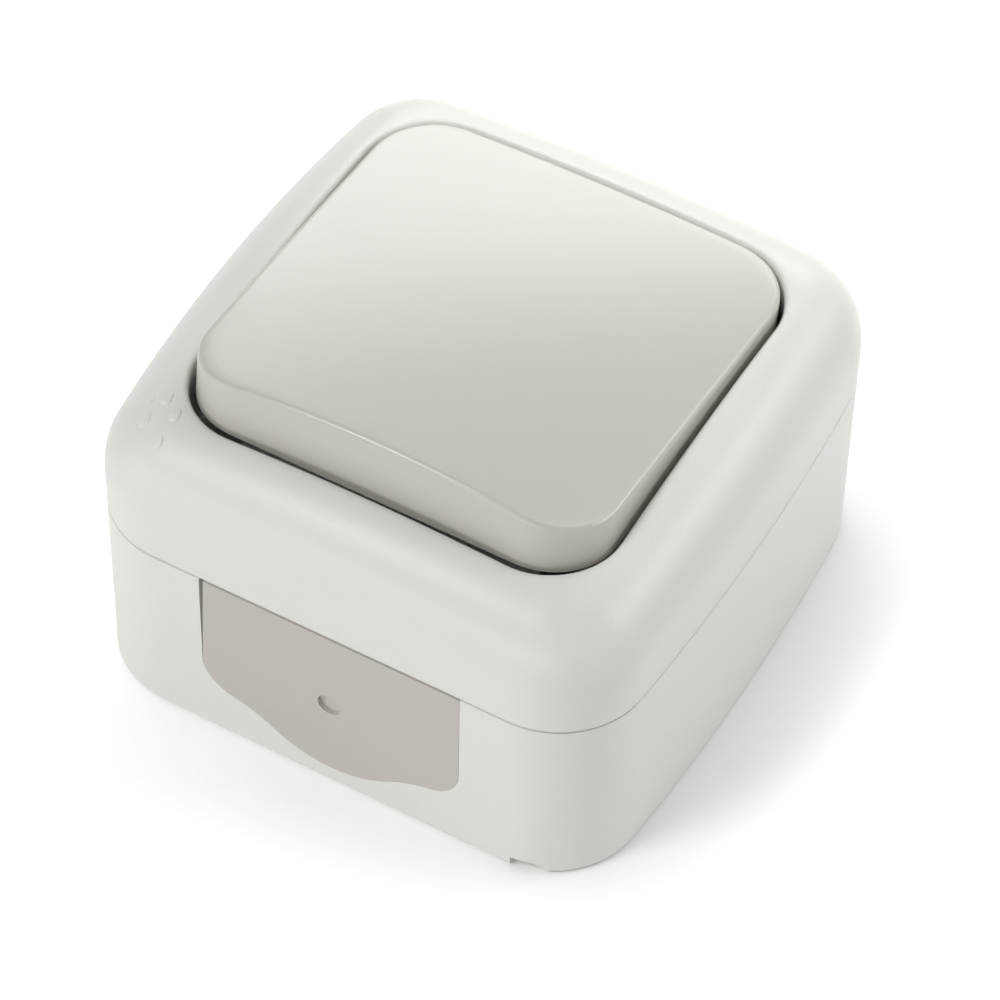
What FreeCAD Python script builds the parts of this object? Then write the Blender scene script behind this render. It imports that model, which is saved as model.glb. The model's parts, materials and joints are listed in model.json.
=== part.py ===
import FreeCAD, Part
import math
import os
import re
import Sketcher

# Surface-mounted weatherproof rocker switch, in millimetres.
# +X runs along the cable-entry wall, which faces -Y, and +Z leaves the building wall.
# The origin is the centre of the back face. The rocker stands with its front edge up.

SIZES = (
    ("case_width", 70.0, "width across the bowed sides"),
    ("case_depth", 70.8, "depth from the cable wall to the far wall"),
    ("case_corner", 11.2, "plan radius of the case corners"),
    ("side_radius", 300.0, "radius of the bowed left and right sides"),
    ("box_height", 26.0, "height of the rear box"),
    ("wall", 2.4, "wall of the box and of the frame"),
    ("floor_thick", 1.5, "floor of the rear box"),
    ("foot_round", 0.6, "round of the box's back edge"),
    ("seam_gap", 0.12, "shadow line between box and frame"),
    ("seam_round", 0.15, "round of the two edges at the seam"),
    ("land_width", 1.0, "land of the box outside the gasket"),
    ("gasket_depth", 1.4, "ledge of the gasket below the box rim"),
    ("soft_gap", 0.05, "side clearance of the soft pieces"),
    ("fixing_spacing", 50.0, "spacing of the two wall-fixing holes"),
    ("fixing_radius", 2.25, "radius of a wall-fixing hole"),
    ("fixing_boss_radius", 5.0, "radius of the boss around a wall-fixing hole"),
    ("fixing_boss_height", 1.6, "height of that boss above the floor"),
    ("notch_width", 4.4, "width of the pry notch in the back edge"),
    ("notch_height", 1.5, "height of the pry notch"),
    ("notch_depth", 1.4, "depth of the pry notch into the wall"),
    ("notch_offset", 25.8, "notch centre from the middle of the cable wall"),
    ("entry_width", 33.6, "width of the cable cut-out"),
    ("entry_shoulder", 7.1, "height of the cut-out's shoulders"),
    ("entry_bottom", 2.45, "lowest point of the cut-out's belly"),
    ("entry_belly", 13.0, "radius of the belly"),
    ("entry_sweep", 16.5, "radius of the sweep from the belly to a shoulder"),
    ("entry_corner", 5.0, "radius of the shoulder corners"),
    ("entry_slack", 0.5, "slack beside the membrane's upper left edge"),
    ("membrane_lip", 0.7, "overlap of the membrane's inner lip"),
    ("membrane_lip_thick", 1.2, "thickness of the inner lip"),
    ("dimple_radius", 1.5, "radius of the dimple to pierce"),
    ("dimple_depth", 0.6, "depth of the dimple"),
    ("dimple_height", 14.1, "height of the dimple"),
    ("frame_height", 17.48, "top of the frame's dome above the frame's foot"),
    ("dome_radius", 303.0, "radius of the frame's domed front"),
    ("cover_round", 10.0, "round between the frame's sides and its dome"),
    ("opening_width", 53.6, "width of the rocker opening"),
    ("opening_depth", 54.2, "depth of the rocker opening"),
    ("opening_corner", 9.1, "corner radius of the rocker opening"),
    ("opening_round", 0.3, "round of the opening's edge"),
    ("well_wall", 1.6, "wall round the rocker well"),
    ("well_depth", 11.6, "floor of the rocker well below the dome's top"),
    ("well_floor_thick", 1.6, "thickness of the well's floor"),
    ("rim_depth", 7.6, "hollow behind the frame's rim below the dome's top"),
    ("window_width", 33.0, "width of the window in the well's floor"),
    ("window_depth", 29.0, "depth of the window in the well's floor"),
    ("window_corner", 4.0, "corner radius of the window"),
    ("cover_screw_offset", 21.0, "cover screws from the middle, along both axes"),
    ("post_radius", 3.5, "radius of the screw posts"),
    ("post_drop", 2.0, "cover screws' posts below the box's rim"),
    ("boss_radius", 4.0, "radius of the frame's screw bosses"),
    ("screw_radius", 1.45, "radius of a screw's shank"),
    ("screw_clearance", 0.25, "radial clearance of a screw in its hole"),
    ("pilot_clearance", 0.05, "radial clearance of a screw in its post"),
    ("head_radius", 2.8, "radius of a screw head"),
    ("head_height", 1.8, "height of a screw head"),
    ("slot_width", 0.8, "width of a screw's driving slot"),
    ("slot_depth", 0.9, "depth of a screw's driving slot"),
    ("head_chamfer", 0.45, "chamfer of a screw head"),
    ("screw_point", 0.7, "chamfer of a screw's tip"),
    ("screw_bite", 8.0, "length of a screw in its post"),
    ("pilot_extra", 1.0, "pilot hole beyond a screw's tip"),
    ("overcut", 1.0, "run of a cut past the face that it opens"),
    ("pivot_depth", 5.1, "rocker's pivot below the dome's top"),
    ("rocker_tilt", 6.8, "tilt of the rocker to either side, degrees"),
    ("rocker_gap", 1.0, "gap between the rocker and its opening"),
    ("rocker_top", 7.0, "crown of the rocker above its pivot"),
    ("rocker_skirt", 0.9, "skirt of the rocker below its pivot"),
    ("rocker_crown", 172.0, "radius of the crowned top"),
    ("rocker_wall", 2.0, "wall of the rocker"),
    ("rocker_edge", 0.45, "round of the rocker's top edge"),
    ("rib_inset", 1.5, "rocker's rib inside the cradle's edge"),
    ("rib_thick", 1.5, "thickness of the rocker's rib"),
    ("rib_corner", 3.0, "corner radius of the rocker's rib"),
    ("clip_width", 6.0, "width of a clip leg"),
    ("clip_thick", 1.3, "thickness of a clip leg"),
    ("clip_hook", 0.6, "reach of a clip's hook under the cradle"),
    ("clip_gap", 0.05, "clearance of the clips on the cradle"),
    ("cradle_width", 23.2, "width of the cradle"),
    ("cradle_depth", 18.0, "depth of the cradle"),
    ("cradle_top", 3.0, "top of the cradle above the pivot"),
    ("cradle_thick", 2.5, "thickness of the cradle's plate"),
    ("cradle_corner", 1.5, "corner radius of the cradle's plate"),
    ("cheek_thick", 2.2, "thickness of the cradle's cheeks"),
    ("trunnion_radius", 1.5, "radius of a trunnion"),
    ("bearing_clearance", 0.05, "radial clearance of a trunnion in its ear"),
    ("ear_gap", 0.3, "side play of the cradle between the ears"),
    ("ear_thick", 2.4, "thickness of a bearing ear"),
    ("ear_radius", 3.0, "radius of an ear round its bearing"),
    ("barrel_radius", 3.2, "radius of the plunger's barrel"),
    ("barrel_length", 7.5, "end of the barrel below the pivot"),
    ("bore_top", 1.5, "end of the barrel's bore above the pivot"),
    ("plunger_radius", 1.75, "radius of the plunger"),
    ("plunger_clearance", 0.08, "radial clearance of the plunger in its bore"),
    ("plunger_reach", 14.8, "tip of the plunger below the pivot"),
    ("plunger_top", 3.0, "top of the plunger below the pivot"),
    ("plunger_nose", 1.5, "round of the plunger's nose"),
    ("spring_radius", 1.3, "mean radius of the plunger's spring"),
    ("spring_wire", 0.2, "radius of the spring's wire"),
    ("spring_turns", 4.0, "turns of the spring"),
    ("block_width", 38.0, "width of the switch block"),
    ("block_depth", 34.0, "depth of the switch block"),
    ("block_bottom", 6.0, "underside of the switch block"),
    ("block_corner", 3.0, "corner radius of the switch block"),
    ("seal_thick", 0.9, "thickness of the window seal"),
    ("lug_height", 20.0, "underside of the block's lugs"),
    ("lug_thick", 3.0, "thickness of a lug"),
    ("lug_reach", 8.0, "reach of a lug beyond the block"),
    ("lug_depth", 9.0, "depth of a lug"),
    ("lug_corner", 3.0, "corner radius of a lug"),
    ("chamber_width", 12.0, "width of the contact chamber"),
    ("chamber_depth", 24.0, "depth of the contact chamber"),
    ("arm_lift", 4.0, "contact arm's pivot above the chamber's floor"),
    ("chamber_corner", 1.5, "corner radius of the contact chamber"),
    ("terminal_width", 7.0, "width of a terminal"),
    ("terminal_height", 8.0, "height of a terminal"),
    ("terminal_length", 15.0, "length of a terminal"),
    ("terminal_drop", 6.0, "underside of a terminal below the chamber's floor"),
    ("terminal_recess", 2.0, "mouth of a terminal behind the block's front"),
    ("terminal_inner", 9.5, "inner face of a terminal from the middle"),
    ("terminal_gap", 0.1, "clearance of a terminal in its pocket"),
    ("wire_space", 4.4, "width and height of a terminal's wire space"),
    ("wire_depth", 12.0, "depth of a terminal's wire space"),
    ("terminal_floor", 1.0, "brass under the wire space"),
    ("terminal_screw_back", 4.5, "terminal screw behind the terminal's mouth"),
    ("terminal_screw_lift", 0.4, "open terminal screw's head above the terminal"),
    ("terminal_head_radius", 2.2, "radius of a terminal screw's head"),
    ("terminal_access", 2.6, "radius of the screwdriver holes"),
    ("clamp_thick", 0.8, "thickness of a clamp plate"),
    ("clamp_length", 6.0, "length of a clamp plate"),
    ("strip_thick", 0.8, "thickness of the brass strips"),
    ("arm_drop", 16.5, "contact arm's pivot below the rocker's pivot"),
    ("arm_tilt", 7.5, "tilt of the contact arm to either side, degrees"),
    ("arm_width", 5.0, "width of the contact arm"),
    ("arm_length", 17.6, "length of the contact arm"),
    ("arm_top", 1.6, "top of the contact arm above its pivot"),
    ("arm_thick", 1.0, "thickness of the contact arm"),
    ("hub_radius", 1.5, "radius of the arm's hub"),
    ("pin_radius", 0.8, "radius of the arm's pin"),
    ("pin_clearance", 0.05, "radial clearance of the arm on its pin"),
    ("bracket_gap", 0.3, "side play of the arm in its bracket"),
    ("bracket_depth", 4.0, "depth of the bracket's cheeks"),
    ("bracket_rise", 1.6, "top of the bracket's cheeks above the arm's pivot"),
    ("contact_offset", 7.6, "contacts in front of the arm's pivot"),
    ("contact_radius", 1.3, "radius of the contact buttons"),
    ("contact_thick", 0.6, "thickness of the moving contact"),
    ("contact_gap", 0.1, "gap of the contacts at rest"),
    ("strip_margin", 0.3, "brass strip around the fixed contact"),
)

# Heights above the back face that follow from the sizes
HEIGHTS = {
    "cover_height": "box_height + seam_gap + frame_height",
    "well_floor": "cover_height - well_depth",
    "hollow_top": "cover_height - rim_depth",
    "cover_post_height": "box_height - post_drop",
    "pivot_height": "cover_height - pivot_depth",
    "arm_pivot": "pivot_height - arm_drop",
    "chamber_floor": "arm_pivot - arm_lift",
    "terminal_bottom": "chamber_floor - terminal_drop",
}

doc = FreeCAD.newDocument("weatherproof_switch")
sheet = doc.addObject("Spreadsheet::Sheet", "sizes")
for row, (alias, value, note) in enumerate(SIZES, 1):
    sheet.set("A%d" % row, alias)
    sheet.set("B%d" % row, str(value))
    sheet.set("C%d" % row, note)
    sheet.setAlias("B%d" % row, alias)
doc.recompute()

ALIASES = {alias for alias, value, note in SIZES}
probe = doc.addObject("App::FeaturePython", "probe")
probe.addProperty("App::PropertyFloat", "Result")


def bind(text):
    """An expression in plain size names, with each name tied to its cell of the sheet."""
    def cell(match):
        word = match.group()
        if word in HEIGHTS:
            return "(%s)" % bind(HEIGHTS[word])
        return "sizes." + word if word in ALIASES else word
    return re.sub(r"[a-z_]+", cell, str(text))


def number(text):
    """What an expression in size names comes to now."""
    probe.setExpression("Result", bind(text))
    probe.recompute()
    return probe.Result


# Sketches

def new_sketch(body, name, plane, offset="0"):
    """An empty sketch on an origin plane of the body, moved along the plane's normal."""
    sketch = body.newObject("Sketcher::SketchObject", name)
    origin = next(item for item in body.Origin.OriginFeatures if item.Role == plane)
    sketch.AttachmentSupport = [(origin, "")]
    sketch.MapMode = "FlatFace"
    sketch.setExpression("AttachmentOffset.Base.z", bind(offset))
    doc.recompute()
    return sketch


def drive(sketch, kind, items, text):
    """Adds a dimension to a sketch and ties its value to an expression."""
    index = sketch.addConstraint(Sketcher.Constraint(kind, *items, number(text)))
    sketch.setExpression("Constraints[%d]" % index, bind(text))


def place_point(sketch, geometry, corner, x, y):
    """Ties a point of a sketch to a place given by two expressions."""
    for kind, text, axis in (("DistanceX", x, -2), ("DistanceY", y, -1)):
        if str(text) == "0":
            sketch.addConstraint(Sketcher.Constraint("PointOnObject", geometry, corner, axis))
        else:
            drive(sketch, kind, (-1, 1, geometry, corner), text)


def vector(x, y):
    return FreeCAD.Vector(x, y, 0)


def line(x1, y1, x2, y2):
    return Part.LineSegment(vector(x1, y1), vector(x2, y2))


def arc(x, y, radius, start, end):
    circle = Part.Circle(vector(x, y), FreeCAD.Vector(0, 0, 1), radius)
    return Part.ArcOfCircle(circle, start, end)


def tangent_loop(sketch, pieces):
    """Adds pieces of a smooth outline, each given with its start and end point, and joins them."""
    first = sketch.GeometryCount
    for piece, start, end in pieces:
        sketch.addGeometry(piece, False)
    count = len(pieces)
    for step in range(count):
        after = (step + 1) % count
        joint = (first + step, pieces[step][2], first + after, pieces[after][1])
        sketch.addConstraint(Sketcher.Constraint("Tangent", *joint))
    return first


def rounded_rectangle(sketch, width, depth, radius):
    """A rectangle with round corners about the sketch's origin."""
    half_x = number("(%s) / 2" % width)
    half_y = number("(%s) / 2" % depth)
    r = number(radius)
    x = half_x - r
    y = half_y - r
    turn = math.pi / 2
    pieces = [(line(-x, -half_y, x, -half_y), 1, 2), (arc(x, -y, r, -turn, 0), 1, 2),
              (line(half_x, -y, half_x, y), 1, 2), (arc(x, y, r, 0, turn), 1, 2),
              (line(x, half_y, -x, half_y), 1, 2), (arc(-x, y, r, turn, 2 * turn), 1, 2),
              (line(-half_x, y, -half_x, -y), 1, 2), (arc(-x, -y, r, 2 * turn, 3 * turn), 1, 2)]
    first = tangent_loop(sketch, pieces)
    for step, kind in ((0, "Horizontal"), (2, "Vertical"), (4, "Horizontal"), (6, "Vertical")):
        sketch.addConstraint(Sketcher.Constraint(kind, first + step))
    for step in (3, 5, 7):
        sketch.addConstraint(Sketcher.Constraint("Equal", first + 1, first + step))
    drive(sketch, "Radius", (first + 1,), radius)
    drive(sketch, "DistanceY", (-1, 1, first, 1), "-(%s) / 2" % depth)
    drive(sketch, "DistanceX", (-1, 1, first + 2, 1), "(%s) / 2" % width)
    drive(sketch, "DistanceY", (-1, 1, first + 4, 1), "(%s) / 2" % depth)
    drive(sketch, "DistanceX", (-1, 1, first + 6, 1), "-(%s) / 2" % width)


def case_outline(sketch, inset):
    """The case's plan, inset: flat front and back, bowed sides and round corners."""
    half_x = number("case_width / 2 - (%s)" % inset)
    half_y = number("case_depth / 2 - (%s)" % inset)
    r = number("case_corner - (%s)" % inset)
    bow = number("side_radius - (%s)" % inset)
    y = half_y - r
    middle = half_x - bow
    x = middle + math.sqrt((bow - r) ** 2 - y ** 2)
    lean = math.atan2(y, x - middle)
    turn = math.pi / 2
    pieces = [(line(-x, -half_y, x, -half_y), 1, 2), (arc(x, -y, r, -turn, -lean), 1, 2),
              (arc(middle, 0, bow, -lean, lean), 1, 2), (arc(x, y, r, lean, turn), 1, 2),
              (line(x, half_y, -x, half_y), 1, 2), (arc(-x, y, r, turn, 2 * turn - lean), 1, 2),
              (arc(-middle, 0, bow, 2 * turn - lean, 2 * turn + lean), 1, 2),
              (arc(-x, -y, r, 2 * turn + lean, 3 * turn), 1, 2)]
    first = tangent_loop(sketch, pieces)
    sketch.addConstraint(Sketcher.Constraint("Horizontal", first))
    sketch.addConstraint(Sketcher.Constraint("Horizontal", first + 4))
    for step in (3, 5, 7):
        sketch.addConstraint(Sketcher.Constraint("Equal", first + 1, first + step))
    sketch.addConstraint(Sketcher.Constraint("Equal", first + 2, first + 6))
    drive(sketch, "Radius", (first + 1,), "case_corner - (%s)" % inset)
    drive(sketch, "Radius", (first + 2,), "side_radius - (%s)" % inset)
    drive(sketch, "DistanceY", (-1, 1, first, 1), "(%s) - case_depth / 2" % inset)
    drive(sketch, "DistanceY", (-1, 1, first + 4, 1), "case_depth / 2 - (%s)" % inset)
    place_point(sketch, first + 2, 3, "case_width / 2 - side_radius", "0")
    place_point(sketch, first + 6, 3, "side_radius - case_width / 2", "0")


def circles(sketch, radius, places):
    """Equal circles at places given by pairs of expressions."""
    for x, y in places:
        centre = vector(number(x), number(y))
        index = sketch.addGeometry(Part.Circle(centre, FreeCAD.Vector(0, 0, 1), number(radius)), False)
        drive(sketch, "Radius", (index,), radius)
        place_point(sketch, index, 3, x, y)


def polygon(sketch, places):
    """A closed outline of straight runs through places given by pairs of expressions."""
    spots = [(number(x), number(y)) for x, y in places]
    first = sketch.GeometryCount
    for start, end in zip(spots, spots[1:] + spots[:1]):
        sketch.addGeometry(line(*start, *end), False)
    count = len(places)
    for step, (x, y) in enumerate(places):
        before = first + (step - 1) % count
        sketch.addConstraint(Sketcher.Constraint("Coincident", before, 2, first + step, 1))
        place_point(sketch, first + step, 1, x, y)


# Features of a body

def new_body(label):
    body = doc.addObject("PartDesign::Body", label)
    body.Label = label
    return body


def extrude(body, kind, sketch, length, reverse=False, both=False):
    """Pads or pockets a sketch by an expression, to one side or evenly to both."""
    feature = body.newObject("PartDesign::" + kind, sketch.Name + "_" + kind.lower())
    feature.Profile = sketch
    feature.setExpression("Length", bind(length))
    feature.Reversed = reverse
    feature.SideType = "Symmetric" if both else "One side"
    sketch.Visibility = False
    doc.recompute()
    return feature


def edges_where(feature, test):
    """Names of the feature's edges whose middle point passes a test."""
    found = []
    for index, edge in enumerate(feature.Shape.Edges, 1):
        middle = edge.valueAt((edge.FirstParameter + edge.LastParameter) / 2)
        if test(edge, middle):
            found.append("Edge%d" % index)
    return found


def round_edges(body, name, feature, radius, test):
    fillet = body.newObject("PartDesign::Fillet", name)
    fillet.Base = (feature, edges_where(feature, test))
    fillet.setExpression("Radius", bind(radius))
    doc.recompute()
    return fillet


COVER_SCREWS = (("-cover_screw_offset", "cover_screw_offset"),
                ("cover_screw_offset", "-cover_screw_offset"))
LUG_SCREW = "block_width / 2 + lug_reach / 2"
LUG_SCREWS = (("-(%s)" % LUG_SCREW, "0"), (LUG_SCREW, "0"))
FIXINGS = (("0", "fixing_spacing / 2"), ("0", "-fixing_spacing / 2"))
FRAME_FOOT = "(box_height + seam_gap)"
NEAR = 0.01


def entry_outline(sketch, grow, top, slack="0"):
    """The cable cut-out's outline: round shoulders swept into a belly, grown by an expression."""
    half = number("entry_width / 2 + (%s)" % grow)
    corner = number("entry_corner + (%s)" % grow)
    sweep = number("entry_sweep - (%s)" % grow)
    belly = number("entry_belly + (%s)" % grow)
    roof = number(top)
    ease = number(slack)
    shoulder = FreeCAD.Vector(half - corner, number("entry_shoulder + entry_corner"), 0)
    middle = FreeCAD.Vector(0, number("entry_bottom + entry_belly"), 0)
    # The sweep's centre lies outside, at its two tangent distances from the other centres.
    between = shoulder - middle
    near = belly + sweep
    far = corner + sweep
    along = (near ** 2 - far ** 2 + between.Length ** 2) / (2 * between.Length)
    across = math.sqrt(near ** 2 - along ** 2)
    ahead = between / between.Length
    outside = middle + ahead * along + FreeCAD.Vector(ahead.y, -ahead.x, 0) * across
    to_belly = math.atan2(middle.y - outside.y, middle.x - outside.x)
    to_corner = math.atan2(shoulder.y - outside.y, shoulder.x - outside.x)
    half_turn = math.pi
    # The left side leans in by the slack above the shoulder corner.
    pieces = [line(-half + ease, roof, -half, shoulder.y),
              arc(-shoulder.x, shoulder.y, corner, half_turn, 2 * half_turn - to_corner),
              arc(-outside.x, outside.y, sweep, half_turn - to_belly, half_turn - to_corner),
              arc(0, middle.y, belly, -to_belly, to_belly - half_turn),
              arc(outside.x, outside.y, sweep, to_corner, to_belly),
              arc(shoulder.x, shoulder.y, corner, to_corner - half_turn, 0),
              line(half, shoulder.y, half, roof),
              line(half, roof, -half + ease, roof)]
    for piece in pieces:
        sketch.addGeometry(piece, False)
    join = Sketcher.Constraint
    sketch.addConstraint([join("Coincident", 0, 2, 1, 1), join("Tangent", 1, 2, 2, 2),
                          join("Tangent", 2, 1, 3, 1), join("Tangent", 3, 2, 4, 2),
                          join("Tangent", 4, 1, 5, 1), join("Tangent", 5, 2, 6, 1),
                          join("Coincident", 6, 2, 7, 1), join("Coincident", 7, 2, 0, 1),
                          join("Horizontal", 7), join("Vertical", 6), join("Horizontal", 1, 1, 1, 3),
                          join("Equal", 1, 5), join("Equal", 2, 4)])
    drive(sketch, "Radius", (1,), "entry_corner + (%s)" % grow)
    drive(sketch, "Radius", (2,), "entry_sweep - (%s)" % grow)
    drive(sketch, "Radius", (3,), "entry_belly + (%s)" % grow)
    place_point(sketch, 1, 3, "entry_corner - entry_width / 2", "entry_shoulder + entry_corner")
    place_point(sketch, 3, 3, "0", "entry_bottom + entry_belly")
    place_point(sketch, 5, 3, "entry_width / 2 - entry_corner", "entry_shoulder + entry_corner")
    place_point(sketch, 0, 1, "(%s) - entry_width / 2 - (%s)" % (slack, grow), top)


def rear_box():
    """The box that is fixed to the building wall."""
    body = new_body("rear_box")
    plan = new_sketch(body, "box_plan", "XY_Plane")
    case_outline(plan, "0")
    shell = extrude(body, "Pad", plan, "box_height")
    foot = round_edges(body, "box_foot", shell, "foot_round", lambda edge, at: abs(at.z) < NEAR)
    rim = number("box_height")
    round_edges(body, "box_rim", foot, "seam_round", lambda edge, at: abs(at.z - rim) < NEAR)
    cavity = new_sketch(body, "box_cavity", "XY_Plane", "box_height")
    case_outline(cavity, "wall")
    extrude(body, "Pocket", cavity, "box_height - floor_thick")
    ledge = new_sketch(body, "box_ledge", "XY_Plane", "box_height")
    case_outline(ledge, "land_width")
    extrude(body, "Pocket", ledge, "gasket_depth")
    bosses = new_sketch(body, "box_bosses", "XY_Plane", "floor_thick")
    circles(bosses, "fixing_boss_radius", FIXINGS)
    extrude(body, "Pad", bosses, "fixing_boss_height")
    cover_posts = new_sketch(body, "box_cover_posts", "XY_Plane", "floor_thick")
    circles(cover_posts, "post_radius", COVER_SCREWS)
    extrude(body, "Pad", cover_posts, "cover_post_height - floor_thick")
    lug_posts = new_sketch(body, "box_lug_posts", "XY_Plane", "floor_thick")
    circles(lug_posts, "post_radius", LUG_SCREWS)
    extrude(body, "Pad", lug_posts, "lug_height - floor_thick")
    holes = new_sketch(body, "box_fixings", "XY_Plane", "floor_thick + fixing_boss_height")
    circles(holes, "fixing_radius", FIXINGS)
    extrude(body, "Pocket", holes, "floor_thick + fixing_boss_height")
    cover_pilots = new_sketch(body, "box_cover_pilots", "XY_Plane", "cover_post_height")
    circles(cover_pilots, "screw_radius + pilot_clearance", COVER_SCREWS)
    extrude(body, "Pocket", cover_pilots, "screw_bite + pilot_extra")
    lug_pilots = new_sketch(body, "box_lug_pilots", "XY_Plane", "lug_height")
    circles(lug_pilots, "screw_radius + pilot_clearance", LUG_SCREWS)
    extrude(body, "Pocket", lug_pilots, "screw_bite + pilot_extra")
    entry = new_sketch(body, "box_entry", "XZ_Plane", "case_depth / 2")
    entry_outline(entry, "0", "box_height")
    extrude(body, "Pocket", entry, "wall")
    notch = new_sketch(body, "box_notch", "XZ_Plane", "case_depth / 2")
    left = "notch_offset - notch_width / 2"
    right = "notch_offset + notch_width / 2"
    polygon(notch, ((left, "0"), (right, "0"), (right, "notch_height"), (left, "notch_height")))
    extrude(body, "Pocket", notch, "notch_depth")
    return body


def front_frame():
    """The domed cover with the rocker well."""
    body = new_body("front_frame")
    plan = new_sketch(body, "frame_plan", "XY_Plane", FRAME_FOOT)
    case_outline(plan, "0")
    extrude(body, "Pad", plan, "cover_height - box_height")
    dome = new_sketch(body, "frame_dome", "XZ_Plane")
    crest = number("cover_height")
    reach = number("case_width")
    roof = number("2 * cover_height")
    drop = number("cover_height - dome_radius + sqrt(dome_radius ^ 2 - case_width ^ 2)")
    sweep = math.asin(number("case_width / dome_radius"))
    turn = math.pi / 2
    centre = number("cover_height - dome_radius")
    dome.addGeometry(arc(0, centre, number("dome_radius"), turn - sweep, turn), False)
    dome.addGeometry(line(0, crest, 0, roof), False)
    dome.addGeometry(line(0, roof, reach, roof), False)
    dome.addGeometry(line(reach, roof, reach, drop), False)
    join = Sketcher.Constraint
    dome.addConstraint([join("Coincident", 0, 2, 1, 1), join("Coincident", 1, 2, 2, 1),
                        join("Coincident", 2, 2, 3, 1), join("Coincident", 3, 2, 0, 1),
                        join("Horizontal", 2), join("Vertical", 3), join("PointOnObject", 1, 1, -2)])
    drive(dome, "Radius", (0,), "dome_radius")
    place_point(dome, 0, 3, "0", "cover_height - dome_radius")
    place_point(dome, 1, 2, "0", "2 * cover_height")
    drive(dome, "DistanceX", (-1, 1, 3, 1), "case_width")
    groove = body.newObject("PartDesign::Groove", "frame_dome_groove")
    groove.Profile = dome
    groove.ReferenceAxis = (dome, ["V_Axis"])
    groove.Angle = 360.0
    doc.recompute()
    low = number("hollow_top")
    side = number("case_width / 2 - case_corner")

    def brow(edge, at):
        level = edge.BoundBox.ZLength < edge.Length / 2
        return at.z > low and level and max(abs(at.x), abs(at.y)) > side
    shell = round_edges(body, "frame_brow", groove, "cover_round", brow)
    foot = number(FRAME_FOOT)
    round_edges(body, "frame_foot", shell, "seam_round", lambda edge, at: abs(at.z - foot) < NEAR)
    opening = new_sketch(body, "frame_opening", "XY_Plane", "cover_height + overcut")
    rounded_rectangle(opening, "opening_width", "opening_depth", "opening_corner")
    well = extrude(body, "Pocket", opening, "cover_height + overcut - well_floor")
    half_x = number("opening_width / 2")
    half_y = number("opening_depth / 2")

    def mouth(edge, at):
        level = edge.BoundBox.ZLength < edge.Length / 2
        inside = abs(at.x) < half_x + NEAR and abs(at.y) < half_y + NEAR
        return at.z > low and level and inside
    round_edges(body, "frame_mouth", well, "opening_round", mouth)
    under = new_sketch(body, "frame_under", "XY_Plane", FRAME_FOOT)
    case_outline(under, "wall")
    extrude(body, "Pocket", under, "well_floor - well_floor_thick - %s" % FRAME_FOOT, reverse=True)
    hollow = new_sketch(body, "frame_hollow", "XY_Plane", "well_floor - well_floor_thick")
    case_outline(hollow, "wall")
    rounded_rectangle(hollow, "opening_width + 2 * well_wall", "opening_depth + 2 * well_wall",
                      "opening_corner + well_wall")
    extrude(body, "Pocket", hollow, "hollow_top - well_floor + well_floor_thick", reverse=True)
    window = new_sketch(body, "frame_window", "XY_Plane", "well_floor")
    rounded_rectangle(window, "window_width", "window_depth", "window_corner")
    extrude(body, "Pocket", window, "well_floor_thick")
    bosses = new_sketch(body, "frame_bosses", "XY_Plane", "well_floor - well_floor_thick")
    circles(bosses, "boss_radius", COVER_SCREWS)
    extrude(body, "Pad", bosses, "well_floor - well_floor_thick - cover_post_height", reverse=True)
    holes = new_sketch(body, "frame_holes", "XY_Plane", "well_floor")
    circles(holes, "screw_radius + screw_clearance", COVER_SCREWS)
    extrude(body, "Pocket", holes, "well_floor - cover_post_height")
    return body


def rim_gasket():
    """The sealing ring between the box and the frame."""
    body = new_body("rim_gasket")
    plan = new_sketch(body, "gasket_plan", "XY_Plane", "box_height - gasket_depth")
    case_outline(plan, "land_width + soft_gap")
    case_outline(plan, "wall")
    extrude(body, "Pad", plan, "gasket_depth + seam_gap")
    return body


def cable_membrane():
    """The soft insert of the cable cut-out, with a lip behind the wall and a dimple to pierce."""
    body = new_body("cable_membrane")
    face = new_sketch(body, "membrane_face", "XZ_Plane", "case_depth / 2")
    entry_outline(face, "-soft_gap", "box_height", "entry_slack")
    extrude(body, "Pad", face, "wall + soft_gap", reverse=True)
    lip = new_sketch(body, "membrane_lip", "XZ_Plane", "case_depth / 2 - wall - soft_gap")
    entry_outline(lip, "membrane_lip", "box_height - gasket_depth")
    extrude(body, "Pad", lip, "membrane_lip_thick", reverse=True)
    ledge = new_sketch(body, "membrane_ledge", "XY_Plane", "box_height")
    case_outline(ledge, "land_width")
    extrude(body, "Pocket", ledge, "gasket_depth")
    dimple = new_sketch(body, "membrane_dimple", "XZ_Plane", "case_depth / 2")
    circles(dimple, "dimple_radius", (("0", "dimple_height"),))
    extrude(body, "Pocket", dimple, "dimple_depth")
    return body


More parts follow.
